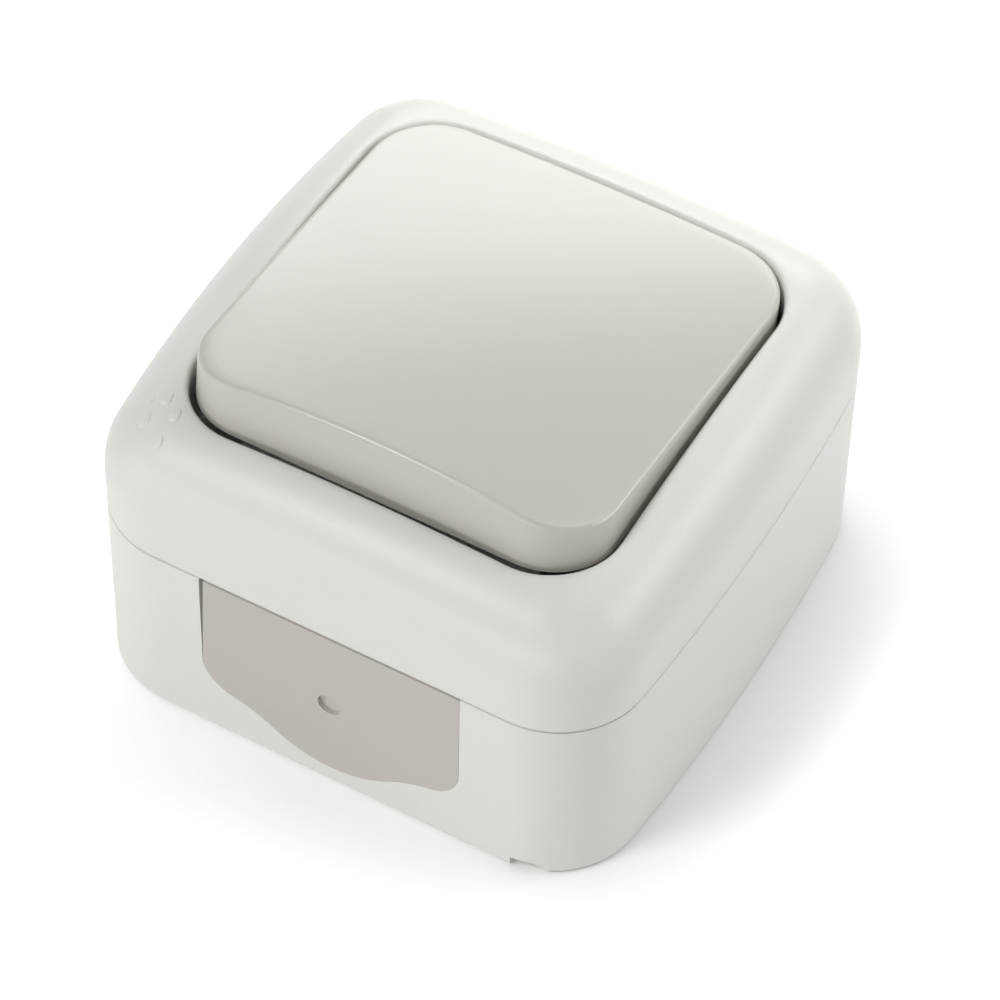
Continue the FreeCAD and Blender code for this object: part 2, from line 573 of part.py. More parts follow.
def rocker():
    """The crowned button, made about its pivot and then tilted."""
    body = new_body("rocker")
    width = "opening_width - 2 * rocker_gap"
    depth = "opening_depth - 2 * rocker_gap"
    corner = "opening_corner - rocker_gap"
    plan = new_sketch(body, "rocker_plan", "XY_Plane", "-rocker_skirt")
    rounded_rectangle(plan, width, depth, corner)
    extrude(body, "Pad", plan, "rocker_skirt + rocker_top + overcut")
    crown = new_sketch(body, "rocker_crown_line", "XZ_Plane")
    half = "opening_width / 2"
    drop = number("rocker_top - rocker_crown + sqrt(rocker_crown ^ 2 - (%s) ^ 2)" % half)
    top = number("2 * rocker_top")
    x = number(half)
    sweep = math.asin(x / number("rocker_crown"))
    turn = math.pi / 2
    centre = number("rocker_top - rocker_crown")
    crown.addGeometry(arc(0, centre, number("rocker_crown"), turn - sweep, turn + sweep), False)
    crown.addGeometry(line(-x, drop, -x, top), False)
    crown.addGeometry(line(-x, top, x, top), False)
    crown.addGeometry(line(x, top, x, drop), False)
    join = Sketcher.Constraint
    crown.addConstraint([join("Coincident", 0, 2, 1, 1), join("Coincident", 1, 2, 2, 1),
                         join("Coincident", 2, 2, 3, 1), join("Coincident", 3, 2, 0, 1),
                         join("Vertical", 1), join("Vertical", 3)])
    drive(crown, "Radius", (0,), "rocker_crown")
    place_point(crown, 0, 3, "0", "rocker_top - rocker_crown")
    place_point(crown, 1, 2, "-(%s)" % half, "2 * rocker_top")
    place_point(crown, 2, 2, half, "2 * rocker_top")
    trimmed = extrude(body, "Pocket", crown, "2 * case_depth", both=True)
    low = number("rocker_top / 2")

    def brow(edge, at):
        return at.z > low and edge.BoundBox.ZLength < edge.Length / 2
    round_edges(body, "rocker_brow", trimmed, "rocker_edge", brow)
    inside = new_sketch(body, "rocker_inside", "XY_Plane", "-rocker_skirt")
    rounded_rectangle(inside, width + " - 2 * rocker_wall", depth + " - 2 * rocker_wall",
                      corner + " - rocker_wall")
    extrude(body, "Pocket", inside, "rocker_skirt + rocker_top - rocker_wall", reverse=True)
    ceiling = "rocker_top - rocker_wall"
    ribs = new_sketch(body, "rocker_ribs", "XY_Plane", "cradle_top")
    for inset, rib_round in (("rib_inset", "rib_corner"),
                             ("rib_inset + rib_thick", "rib_corner - rib_thick")):
        rib_width = "cradle_width - 2 * (%s)" % inset
        rib_depth = "cradle_depth - 2 * (%s)" % inset
        rounded_rectangle(ribs, rib_width, rib_depth, rib_round)
    extrude(body, "Pad", ribs, ceiling + " - cradle_top")
    for name, side in (("front", "-1"), ("rear", "1")):
        clip = new_sketch(body, "rocker_clip_" + name, "YZ_Plane")
        inner = "%s * (cradle_depth / 2 + clip_gap)" % side
        outer = "%s * (cradle_depth / 2 + clip_gap + clip_thick)" % side
        hook = "%s * (cradle_depth / 2 + clip_gap - clip_hook)" % side
        under = "cradle_top - cradle_thick - clip_gap"
        foot = under + " - clip_thick"
        polygon(clip, ((inner, ceiling), (outer, ceiling), (outer, foot), (inner, foot),
                       (hook, under), (inner, under)))
        extrude(body, "Pad", clip, "clip_width", both=True)
    tilt_about(body, "pivot_height", "-rocker_tilt")
    return body


def tilt_about(item, height, angle):
    """Lifts a piece made about its pivot to the pivot's height and tilts it about X."""
    item.Placement = FreeCAD.Placement(FreeCAD.Vector(), FreeCAD.Rotation(FreeCAD.Vector(1, 0, 0), 1.0))
    item.setExpression("Placement.Base.z", bind(height))
    item.setExpression("Placement.Rotation.Angle", bind(angle))
    doc.recompute()


def turned(body, sketch):
    """Turns a half profile about the sketch's vertical axis."""
    feature = body.newObject("PartDesign::Revolution", sketch.Name + "_turned")
    feature.Profile = sketch
    feature.ReferenceAxis = (sketch, ["V_Axis"])
    feature.Angle = 360.0
    sketch.Visibility = False
    doc.recompute()
    return feature


def slotted_screw(label, place, head_radius, shank_length):
    """A slotted screw, made with the seat of its head at its origin."""
    body = new_body(label)
    half = new_sketch(body, label + "_half", "XZ_Plane")
    tip = "-(%s)" % shank_length
    polygon(half, (("0", "head_height"), (head_radius + " - head_chamfer", "head_height"),
                   (head_radius, "head_height - head_chamfer"), (head_radius, "0"), ("screw_radius", "0"),
                   ("screw_radius", tip + " + screw_point"),
                   ("screw_radius - screw_point", tip), ("0", tip)))
    turned(body, half)
    slot = new_sketch(body, label + "_slot", "XY_Plane", "head_height")
    end = head_radius + " + overcut"
    rectangle(slot, "-slot_width / 2", "slot_width / 2", "-(%s)" % end, end)
    extrude(body, "Pocket", slot, "slot_depth")
    for axis, text in zip("xyz", place):
        body.setExpression("Placement.Base." + axis, bind(text))
    doc.recompute()
    return body


def screw_pair(label, places, seat, grip):
    """Two equal screws as one group."""
    pair = doc.addObject("Part::Compound", label)
    pair.Label = label
    length = grip + " + screw_bite"
    pair.Links = [slotted_screw("%s_%d" % (label, count), (x, y, seat), "head_radius", length)
                  for count, (x, y) in enumerate(places, 1)]
    doc.recompute()
    return pair


BLOCK_TOP = "(well_floor - well_floor_thick - seal_thick)"
EAR_FACE = "cradle_width / 2 + ear_gap"
TERMINAL_MOUTH = "block_depth / 2 - terminal_recess"
TERMINAL_TOP = "terminal_bottom + terminal_height"
TERMINAL_SCREW_X = "terminal_inner + terminal_width / 2"
TERMINAL_SCREW_Y = "terminal_recess + terminal_screw_back - block_depth / 2"
CONTACT_Y = "contact_offset * cos(arm_tilt)"
CHEEK_FACE = "(arm_width / 2 + bracket_gap)"


def rectangle(sketch, x1, x2, y1, y2):
    polygon(sketch, ((x1, y1), (x2, y1), (x2, y2), (x1, y2)))


def window_seal():
    """The flat seal between the switch block and the floor of the well."""
    body = new_body("window_seal")
    plan = new_sketch(body, "seal_plan", "XY_Plane", BLOCK_TOP)
    rounded_rectangle(plan, "block_width", "block_depth", "block_corner")
    rounded_rectangle(plan, "window_width", "window_depth", "window_corner")
    extrude(body, "Pad", plan, "seal_thick")
    return body


def ear_profile(sketch):
    """An upright with a round top about the pivot."""
    r = number("ear_radius")
    low = number(BLOCK_TOP)
    high = number("pivot_height")
    pieces = (line(-r, low, r, low), line(r, low, r, high),
              arc(0, high, r, 0, math.pi), line(-r, high, -r, low))
    for piece in pieces:
        sketch.addGeometry(piece, False)
    join = Sketcher.Constraint
    sketch.addConstraint([join("Coincident", 0, 2, 1, 1), join("Tangent", 1, 2, 2, 1),
                          join("Tangent", 2, 2, 3, 1), join("Coincident", 3, 2, 0, 1),
                          join("Horizontal", 0), join("Vertical", 1)])
    drive(sketch, "Radius", (2,), "ear_radius")
    place_point(sketch, 2, 3, "0", "pivot_height")
    drive(sketch, "DistanceY", (-1, 1, 0, 1), BLOCK_TOP)


def switch_block():
    """The moulded mechanism: lugs, bearing ears, contact chamber and terminal pockets."""
    body = new_body("switch_block")
    plan = new_sketch(body, "block_plan", "XY_Plane", "block_bottom")
    rounded_rectangle(plan, "block_width", "block_depth", "block_corner")
    extrude(body, "Pad", plan, BLOCK_TOP + " - block_bottom")
    lugs = new_sketch(body, "block_lugs", "XY_Plane", "lug_height")
    rounded_rectangle(lugs, "block_width + 2 * lug_reach", "lug_depth", "lug_corner")
    extrude(body, "Pad", lugs, "lug_thick")
    for name, offset in (("right", EAR_FACE), ("left", "-(%s + ear_thick)" % EAR_FACE)):
        ear = new_sketch(body, "block_ear_" + name, "YZ_Plane", offset)
        ear_profile(ear)
        extrude(body, "Pad", ear, "ear_thick")
    bearings = new_sketch(body, "block_bearings", "YZ_Plane")
    circles(bearings, "trunnion_radius + bearing_clearance", (("0", "pivot_height"),))
    extrude(body, "Pocket", bearings, "2 * (%s + ear_thick + overcut)" % EAR_FACE, both=True)
    chamber = new_sketch(body, "block_chamber", "XY_Plane", BLOCK_TOP)
    rounded_rectangle(chamber, "chamber_width", "chamber_depth", "chamber_corner")
    extrude(body, "Pocket", chamber, BLOCK_TOP + " - chamber_floor")
    for name, side in (("line", "1"), ("load", "-1")):
        pocket = new_sketch(body, "block_pocket_" + name, "XZ_Plane", "block_depth / 2")
        rectangle(pocket, "%s * (terminal_inner - terminal_gap)" % side,
                  "%s * (terminal_inner + terminal_width + terminal_gap)" % side,
                  "terminal_bottom", TERMINAL_TOP + " + terminal_gap")
        extrude(body, "Pocket", pocket, "terminal_recess + terminal_length + terminal_gap")
    access = new_sketch(body, "block_access", "XY_Plane", BLOCK_TOP)
    circles(access, "terminal_access", ((TERMINAL_SCREW_X, TERMINAL_SCREW_Y),
                                        ("-(%s)" % TERMINAL_SCREW_X, TERMINAL_SCREW_Y)))
    extrude(body, "Pocket", access, BLOCK_TOP + " - (%s)" % TERMINAL_TOP)
    slots = new_sketch(body, "block_strip_slots", "XY_Plane", "chamber_floor + strip_thick + terminal_gap")
    rectangle(slots, "0", "terminal_inner",
              "-bracket_depth / 2 - terminal_gap", "bracket_depth / 2 + terminal_gap")
    margin = "(contact_radius + strip_margin + terminal_gap)"
    rectangle(slots, "-terminal_inner", "0",
              "-(%s) - %s" % (CONTACT_Y, margin), "-(%s) + %s" % (CONTACT_Y, margin))
    extrude(body, "Pocket", slots, "strip_thick + terminal_gap")
    holes = new_sketch(body, "block_lug_holes", "XY_Plane", "lug_height + lug_thick")
    circles(holes, "screw_radius + screw_clearance", LUG_SCREWS)
    extrude(body, "Pocket", holes, "lug_thick")
    return body


def terminal(label, side):
    """A brass terminal with its wire space and screw hole, on one side of the block."""
    body = new_body(label)
    mouth = new_sketch(body, label + "_mouth", "XZ_Plane", TERMINAL_MOUTH)
    rectangle(mouth, "%s * terminal_inner" % side, "%s * (terminal_inner + terminal_width)" % side,
              "terminal_bottom", TERMINAL_TOP)
    extrude(body, "Pad", mouth, "terminal_length", reverse=True)
    space = new_sketch(body, label + "_space", "XZ_Plane", TERMINAL_MOUTH)
    rectangle(space, "%s * (%s) - wire_space / 2" % (side, TERMINAL_SCREW_X),
              "%s * (%s) + wire_space / 2" % (side, TERMINAL_SCREW_X),
              "terminal_bottom + terminal_floor", "terminal_bottom + terminal_floor + wire_space")
    extrude(body, "Pocket", space, "wire_depth")
    hole = new_sketch(body, label + "_hole", "XY_Plane", TERMINAL_TOP)
    screw_x = "%s * (%s)" % (side, TERMINAL_SCREW_X)
    circles(hole, "screw_radius + pilot_clearance", ((screw_x, TERMINAL_SCREW_Y),))
    extrude(body, "Pocket", hole, "terminal_height - terminal_floor - wire_space")
    return body


def load_terminal():
    """The load terminal, with the strip that carries the fixed contact."""
    body = terminal("load_terminal", "-1")
    strip = new_sketch(body, "load_strip", "XY_Plane", "chamber_floor")
    margin = "(contact_radius + strip_margin)"
    rectangle(strip, "-terminal_inner", margin,
              "-(%s) - %s" % (CONTACT_Y, margin), "-(%s) + %s" % (CONTACT_Y, margin))
    extrude(body, "Pad", strip, "strip_thick")
    return body


def terminal_screw(label, side):
    """An open terminal screw, whose tip meets the clamp plate."""
    seat = TERMINAL_TOP + " + terminal_screw_lift"
    length = "terminal_height + terminal_screw_lift - terminal_floor - wire_space + terminal_gap"
    return slotted_screw(label, ("%s * (%s)" % (side, TERMINAL_SCREW_X), TERMINAL_SCREW_Y, seat),
                         "terminal_head_radius", length)


def clamp_plate(label, side):
    """The plate that a terminal screw presses on the wire."""
    body = new_body(label)
    plan = new_sketch(body, label + "_plan", "XY_Plane",
                      "terminal_bottom + terminal_floor + wire_space - terminal_gap")
    middle = "%s * (%s)" % (side, TERMINAL_SCREW_X)
    width = "(wire_space / 2 - terminal_gap)"
    rectangle(plan, "%s - %s" % (middle, width), "%s + %s" % (middle, width),
              TERMINAL_SCREW_Y + " - clamp_length / 2", TERMINAL_SCREW_Y + " + clamp_length / 2")
    extrude(body, "Pad", plan, "clamp_thick", reverse=True)
    return body


def fixed_contact():
    """The contact button on the load strip."""
    body = new_body("fixed_contact")
    plan = new_sketch(body, "fixed_contact_plan", "XY_Plane", "chamber_floor + strip_thick")
    circles(plan, "contact_radius", (("0", "-(%s)" % CONTACT_Y),))
    reach = "arm_pivot - (contact_offset + contact_radius) * sin(arm_tilt)"
    face = reach + " + (arm_top - arm_thick - contact_thick) * cos(arm_tilt) - contact_gap"
    extrude(body, "Pad", plan, face + " - chamber_floor - strip_thick")
    return body


def arm_bracket():
    """The bent strip that carries the contact arm and meets the line terminal."""
    body = new_body("arm_bracket")
    bend = new_sketch(body, "bracket_bend", "XZ_Plane")
    outer = CHEEK_FACE + " + strip_thick"
    floor = "chamber_floor"
    step = "chamber_floor + strip_thick"
    top = "arm_pivot + bracket_rise"
    polygon(bend, (("-(%s)" % outer, floor), ("terminal_inner", floor), ("terminal_inner", step),
                   (outer, step), (outer, top), (CHEEK_FACE, top), (CHEEK_FACE, step),
                   ("-" + CHEEK_FACE, step), ("-" + CHEEK_FACE, top), ("-(%s)" % outer, top)))
    extrude(body, "Pad", bend, "bracket_depth", both=True)
    hole = new_sketch(body, "bracket_hole", "YZ_Plane")
    circles(hole, "pin_radius + pin_clearance", (("0", "arm_pivot"),))
    extrude(body, "Pocket", hole, "2 * (%s + overcut)" % outer, both=True)
    return body


def arm_pin():
    """The pin of the contact arm."""
    body = new_body("arm_pin")
    end = new_sketch(body, "pin_end", "YZ_Plane")
    circles(end, "pin_radius", (("0", "arm_pivot"),))
    extrude(body, "Pad", end, "2 * (%s + strip_thick) + pin_radius" % CHEEK_FACE, both=True)
    return body


def cradle():
    """The rocker's carrier: plate, cheeks with trunnions, and the plunger's barrel."""
    body = new_body("cradle")
    under = "cradle_top - cradle_thick"
    plate = new_sketch(body, "cradle_plate", "XY_Plane", under)
    rounded_rectangle(plate, "cradle_width", "cradle_depth", "cradle_corner")
    extrude(body, "Pad", plate, "cradle_thick")
    cheek_half = "(trunnion_radius + cheek_thick / 2)"
    for name, offset in (("right", "cradle_width / 2 - cheek_thick"), ("left", "-cradle_width / 2")):
        cheek = new_sketch(body, "cradle_cheek_" + name, "YZ_Plane", offset)
        polygon(cheek, (("-" + cheek_half, under), ("-" + cheek_half, "-trunnion_radius / 2"),
                        ("-trunnion_radius", "-" + cheek_half), ("trunnion_radius", "-" + cheek_half),
                        (cheek_half, "-trunnion_radius / 2"), (cheek_half, under)))
        extrude(body, "Pad", cheek, "cheek_thick")
    for name, offset, back in (("right", "cradle_width / 2", False), ("left", "-cradle_width / 2", True)):
        pin = new_sketch(body, "cradle_trunnion_" + name, "YZ_Plane", offset)
        circles(pin, "trunnion_radius", (("0", "0"),))
        extrude(body, "Pad", pin, "ear_gap + ear_thick", reverse=back)
    barrel = new_sketch(body, "cradle_barrel", "XY_Plane", "-barrel_length")
    circles(barrel, "barrel_radius", (("0", "0"),))
    extrude(body, "Pad", barrel, "barrel_length + " + under)
    bore = new_sketch(body, "cradle_bore", "XY_Plane", "-barrel_length")
    circles(bore, "plunger_radius + plunger_clearance", (("0", "0"),))
    extrude(body, "Pocket", bore, "barrel_length + bore_top", reverse=True)
    tilt_about(body, "pivot_height", "-rocker_tilt")
    return body


def plunger():
    """The round-nosed pin that tips the contact arm."""
    body = new_body("plunger")
    nose = new_sketch(body, "plunger_nose", "XY_Plane", "-plunger_reach")
    circles(nose, "plunger_radius", (("0", "0"),))
    shaft = extrude(body, "Pad", nose, "plunger_reach - plunger_top")
    tip = number("-plunger_reach")
    round_edges(body, "plunger_tip", shaft, "plunger_nose", lambda edge, at: abs(at.z - tip) < NEAR)
    tilt_about(body, "pivot_height", "-rocker_tilt")
    return body


def plunger_spring():
    """The coil spring between the plunger and the end of its bore."""
    body = new_body("plunger_spring")
    wire = new_sketch(body, "spring_section", "XZ_Plane")
    circles(wire, "spring_wire", (("spring_radius", "2 * spring_wire - plunger_top"),))
    coil = body.newObject("PartDesign::AdditiveHelix", "spring_coil")
    coil.Profile = wire
    coil.ReferenceAxis = (wire, ["V_Axis"])
    coil.Mode = "height-turns-angle"
    coil.setExpression("Height", bind("bore_top + plunger_top - 4 * spring_wire"))
    coil.setExpression("Turns", bind("spring_turns"))
    doc.recompute()
    tilt_about(body, "pivot_height", "-rocker_tilt")
    return body


def contact_arm():
    """The seesaw lever, made about its pin and then tilted."""
    body = new_body("contact_arm")
    blade = new_sketch(body, "arm_blade", "YZ_Plane")
    rectangle(blade, "-arm_length / 2", "arm_length / 2", "arm_top - arm_thick", "arm_top")
    extrude(body, "Pad", blade, "arm_width", both=True)
    hub = new_sketch(body, "arm_hub", "YZ_Plane")
    circles(hub, "hub_radius", (("0", "0"),))
    extrude(body, "Pad", hub, "arm_width", both=True)
    hole = new_sketch(body, "arm_hole", "YZ_Plane")
    circles(hole, "pin_radius + pin_clearance", (("0", "0"),))
    extrude(body, "Pocket", hole, "arm_width + 2 * overcut", both=True)
    tilt_about(body, "arm_pivot", "arm_tilt")
    return body


def moving_contact():
    """The contact button under the arm's front end."""
    body = new_body("moving_contact")
    plan = new_sketch(body, "moving_contact_plan", "XY_Plane", "arm_top - arm_thick - contact_thick")
    circles(plan, "contact_radius", (("0", "-contact_offset"),))
    extrude(body, "Pad", plan, "contact_thick")
    tilt_about(body, "arm_pivot", "arm_tilt")
    return body


PIECES = [rear_box(), cable_membrane(), rim_gasket(), front_frame(), window_seal(), switch_block(),
          screw_pair("cover_screws", COVER_SCREWS, "well_floor", "well_floor - cover_post_height"),
          screw_pair("mechanism_screws", LUG_SCREWS, "lug_height + lug_thick", "lug_thick"),
          terminal("line_terminal", "1"), load_terminal(),
          terminal_screw("line_terminal_screw", "1"), terminal_screw("load_terminal_screw", "-1"),
          clamp_plate("line_clamp_plate", "1"), clamp_plate("load_clamp_plate", "-1"),
          fixed_contact(), arm_bracket(), arm_pin(),
          rocker(), cradle(), plunger(), plunger_spring(), contact_arm(), moving_contact()]
doc.removeObject("probe")
doc.recompute()

broken = [item.Name for item in doc.Objects if "Invalid" in item.State or "Error" in item.State]
if broken:
    raise RuntimeError("these objects failed: " + ", ".join(broken))
for piece in PIECES:
    if piece.Shape.isNull() or not piece.Shape.isValid():
        raise RuntimeError("%s has no valid shape" % piece.Label)

os.makedirs("parts", exist_ok=True)
for piece in PIECES:
    piece.Shape.exportStep("parts/%s.step" % piece.Label)
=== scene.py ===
"""Looks of a surface-mounted weatherproof rocker switch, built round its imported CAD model."""
import json
import math

import bmesh
import bpy
from bpy.props import FloatProperty, FloatVectorProperty, PointerProperty
from mathutils import Matrix, Quaternion, Vector


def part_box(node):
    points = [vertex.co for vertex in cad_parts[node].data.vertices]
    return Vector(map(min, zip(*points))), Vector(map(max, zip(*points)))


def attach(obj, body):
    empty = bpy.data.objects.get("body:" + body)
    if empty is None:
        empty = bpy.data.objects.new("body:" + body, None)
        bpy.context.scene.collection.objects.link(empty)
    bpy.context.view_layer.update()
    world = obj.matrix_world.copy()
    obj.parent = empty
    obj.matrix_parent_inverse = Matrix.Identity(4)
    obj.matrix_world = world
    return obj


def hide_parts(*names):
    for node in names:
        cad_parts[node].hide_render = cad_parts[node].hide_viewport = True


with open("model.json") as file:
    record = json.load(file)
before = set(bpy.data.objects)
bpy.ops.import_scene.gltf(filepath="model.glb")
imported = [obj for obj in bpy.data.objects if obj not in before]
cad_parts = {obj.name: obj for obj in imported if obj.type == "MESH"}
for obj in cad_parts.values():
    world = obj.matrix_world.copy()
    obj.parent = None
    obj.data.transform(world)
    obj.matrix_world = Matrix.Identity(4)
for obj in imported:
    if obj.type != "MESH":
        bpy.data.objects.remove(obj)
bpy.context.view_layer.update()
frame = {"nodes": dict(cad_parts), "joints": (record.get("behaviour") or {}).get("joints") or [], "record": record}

bl_info = {
    "name": "Weatherproof switch",
    "version": (1, 0, 0),
    "blender": (4, 5, 0),
    "location": "3D View > Sidebar > Switch",
    "description": "Dresses the CAD model of a surface-mounted weatherproof rocker switch",
    "category": "Object",
}

NODES = frame["nodes"]
MM = 0.001
JOINTS = {joint["name"]: joint for joint in frame["joints"]}
PIVOT = Vector(JOINTS["rocker_tilt"]["pos_m"])

# Points on each straight or bowed run, and on each corner, of a plan
RUN_STEPS = 24
CORNER_STEPS = 18
# Angles round a small circle
FULL_TURN = [math.pi * step / 24 for step in range(48)]
# Edges that fold more than this stay sharp
CREASE = math.radians(32)
# Steps over the rounds of the frame, up its side and over its brow, which is sampled densest at the side
FOOT_STEPS = 3
SIDE_SHARES = (0.35, 0.7, 1.0)
BROW_STEPS = 22
BROW_SWEEP = math.radians(80)
RIM_STEPS = 4
# Share of the ball's touching distance that still counts as dome
DOME_SHARE = 0.9
# Moulded drops on the frame's front left corner: place in millimetres from the middle, and relative size
DROPS = ((-28.4, -26.2, 0.7), (-26.5, -25.7, 1.0), (-27.5, -28.8, 1.0), (-24.3, -27.4, 0.95),
         (-24.5, -30.7, 0.75))
DROP_STEPS = 5
# How far a drop's foot goes below the frame's surface, as an angle of its dome
DROP_ROOT = -0.3
# How much narrower a drop's tail gets, and how late
DROP_TAPER = 0.35
DROP_TAPER_POWER = 1.5
# Steps up the rocker's skirt, over its edge and in towards the middle of its crown
SKIRT_SHARES = (0.5, 1.0)
EDGE_STEPS = 6
CROWN_SHARES = (0.97, 0.92, 0.85, 0.75, 0.6, 0.45, 0.3, 0.15)
# Sockets of a mix of two colours, whose names are shared with other kinds of mix
MIX_FACTOR = 0
MIX_LOW = 6
MIX_HIGH = 7
MIX_RESULT = 2
# Slow drift of colour in a moulding, from one patch to the next
DRIFT_SIZE = 14 * MM
# Lines in a metal: depth, change of gloss, and darkest and lightest tint
LINE_DEPTH = 0.004 * MM
LINE_GLOSS = 0.08
LINE_DARK = 0.92
LINE_LIGHT = 1.05
# Refraction of the moulded plastics and of rubber
PLASTIC_IOR = 1.53
RUBBER_IOR = 1.5
# Camera, fitted to the photograph's framing, in metres and millimetres of lens
CAMERA_PLACE = Vector((0.16707, -0.3038, 0.43083))
CAMERA_AIM = Vector((-0.3052, 0.5614, -0.7692))
CAMERA_ROLL = Quaternion((0, 0, 1), math.radians(1.4957))
CAMERA_LENS = 167.5
CAMERA_SENSOR = 36.0
CAMERA_NEAR = 0.01
# Lamps face this point; each has a property for its power, a direction and distance, and a size in metres
MIDDLE = Vector((0, 0, 0.035))
LAMPS = (
    ("key_softbox", "key", 240, 50, 1.0, (0.26, 0.26)),
    ("left_front_panel", "left_front", 225, 11, 1.0, (0.76, 0.31)),
    ("front_panel", "front", 275, 11, 1.0, (0.76, 0.31)),
    ("right_rear_panel", "right_rear", 34, 24, 1.0, (0.68, 0.28)),
    ("high_rear_softbox", "high_rear", 60, 60, 1.0, (0.6, 0.6)),
    ("rear_strip", "rear", 106, 29, 0.17, (0.2, 0.045)),
)
# Light of the surround on the surfaces
FILL = 0.12
FLOOR_HALF = 3.0
FLOOR_GAP = 0.05 * MM
# Painted shadow in the floor's glow, made with ambient occlusion: its reach from the switch, the side the
# occlusion is sensed towards, and the shares of open surround at which the glow is gone and is full
PAINTED_SHADOW_REACH = 18.0 * MM
PAINTED_SHADOW_TURN = math.radians(184)
PAINTED_SHADOW_LEAN = math.radians(57)
PAINTED_SHADOW_FULL_AT = 0.36
PAINTED_SHADOW_NONE_AT = 0.95
PAINTED_SHADOW_SAMPLES = 16


def linear(code):
    """An sRGB hex colour as linear values."""
    parts = [int(code[start:start + 2], 16) / 255 for start in (0, 2, 4)]
    return [part / 12.92 if part <= 0.04045 else ((part + 0.055) / 1.055) ** 2.4 for part in parts]


def length(name, description, millimetres):
    """A property that holds a length, given in millimetres."""
    return FloatProperty(name=name, description=description, default=millimetres * MM, unit="LENGTH",
                         precision=5)


def power(name, description, watts):
    """A property that holds a lamp's power."""
    return FloatProperty(name=name, description=description, default=watts, unit="POWER")


def colour(name, description, code):
    """A property that holds a colour, given as sRGB hex."""
    return FloatVectorProperty(name=name, description=description, default=linear(code), subtype="COLOR",
                               size=3, min=0.0, max=1.0)


# Sizes and colours that a user would change

class CaseShape(bpy.types.PropertyGroup):
    """Shape of the frame and the box."""
    corner: length("Corner", "Plan radius of the case corners", 11.2)
    side_radius: length("Side radius", "Radius of the bowed sides", 300.0)
    brow: length("Brow", "Round between the frame's sides and its dome", 10.0)
    dome_radius: length("Dome radius", "Radius of the frame's domed front", 303.0)
    dome_top: length("Dome top", "Top of the dome above the back face", 43.6)
    wall: length("Wall", "Wall of the frame", 2.4)
    opening_width: length("Opening width", "Width of the rocker opening", 53.6)
    opening_depth: length("Opening depth", "Depth of the rocker opening", 54.2)
    opening_corner: length("Opening corner", "Corner radius of the rocker opening", 9.1)
    rim_round: length("Rim round", "Round of the opening's edge", 0.6)
    foot_round: length("Foot round", "Round of the frame's edge at the seam", 0.45)
    seam: length("Seam", "Gap between the box and the frame", 0.12)
    well_floor: length("Well floor", "Floor of the rocker well above the back face", 32.0)
    well_thick: length("Well thickness", "Thickness of the well's wall and floor", 1.6)
    hollow: length("Hollow", "Top of the hollow behind the rim, above the back face", 36.0)
    window_width: length("Window width", "Width of the window in the well's floor", 33.0)
    window_depth: length("Window depth", "Depth of the window in the well's floor", 29.0)
    window_corner: length("Window corner", "Corner radius of the window", 4.0)
    screw_offset: length("Screw offset", "Cover screws from the middle, along both axes", 21.0)
    screw_hole: length("Screw hole", "Radius of a cover screw's hole", 1.7)
    boss_radius: length("Boss radius", "Radius of a screw boss", 4.0)
    boss_foot: length("Boss foot", "Foot of the screw bosses above the back face", 24.0)
    drop_length: length("Drop length", "Length of a moulded drop", 2.0)
    drop_width: length("Drop width", "Width of a moulded drop", 1.25)
    drop_height: length("Drop height", "Height of a moulded drop over the frame", 0.2)


class RockerShape(bpy.types.PropertyGroup):
    """Shape of the rocker about its pivot."""
    gap: length("Gap", "Gap between the rocker and its opening at the front and the back", 1.0)
    side_gap: length("Side gap", "Gap between the rocker and its opening at the sides", 0.75)
    top: length("Top", "Crown above the pivot", 7.4)
    ceiling: length("Ceiling", "Underside of the crown above the pivot", 5.0)
    skirt: length("Skirt", "Skirt below the pivot", 0.9)
    crown_front: length("Front crown", "Radius of the crowned top at the front edge", 140.0)
    crown_rear: length("Rear crown", "Radius of the crowned top at the rear edge", 400.0)
    wall: length("Wall", "Wall of the rocker", 2.0)
    edge: length("Edge", "Round of the top edge", 0.7)
    rib_width: length("Rib width", "Width of the rib ring under the crown", 20.2)
    rib_depth: length("Rib depth", "Depth of the rib ring", 15.0)
    rib_corner: length("Rib corner", "Corner radius of the rib ring", 3.0)
    rib_thick: length("Rib thickness", "Thickness of the rib ring", 1.5)
    rib_foot: length("Rib foot", "Foot of the rib ring above the pivot", 3.0)
    clip_width: length("Clip width", "Width of a clip leg", 6.0)
    clip_inner: length("Clip face", "Inner face of a clip leg from the pivot", 9.05)
    clip_thick: length("Clip thickness", "Thickness of a clip leg", 1.3)
    clip_hook: length("Clip hook", "Reach of a clip's hook", 0.6)
    clip_under: length("Clip catch", "Catch of the hook above the pivot", 0.45)
    tilt: FloatProperty(name="Tilt", description="Tilt at rest, front edge up", default=math.radians(6.8),
                        subtype="ANGLE")


class Finishes(bpy.types.PropertyGroup):
    """Colours of the visible materials."""
    case: colour("Case", "Frame and box", "E4E3DE")
    rocker: colour("Rocker", "Rocker", "C9C6BE")
    membrane: colour("Membrane", "Cable membrane", "C4C0B9")
    seal: colour("Seal", "Gasket and window seal", "3A3A39")
    block: colour("Block", "Switch block and cradle", "E6E3DA")
    steel: colour("Steel", "Screws, clamp plates, pin and spring", "C9CBCD")
    brass: colour("Brass", "Terminals, bracket and contact arm", "C7A25A")
    silver: colour("Silver", "Contact buttons", "DAD7D0")


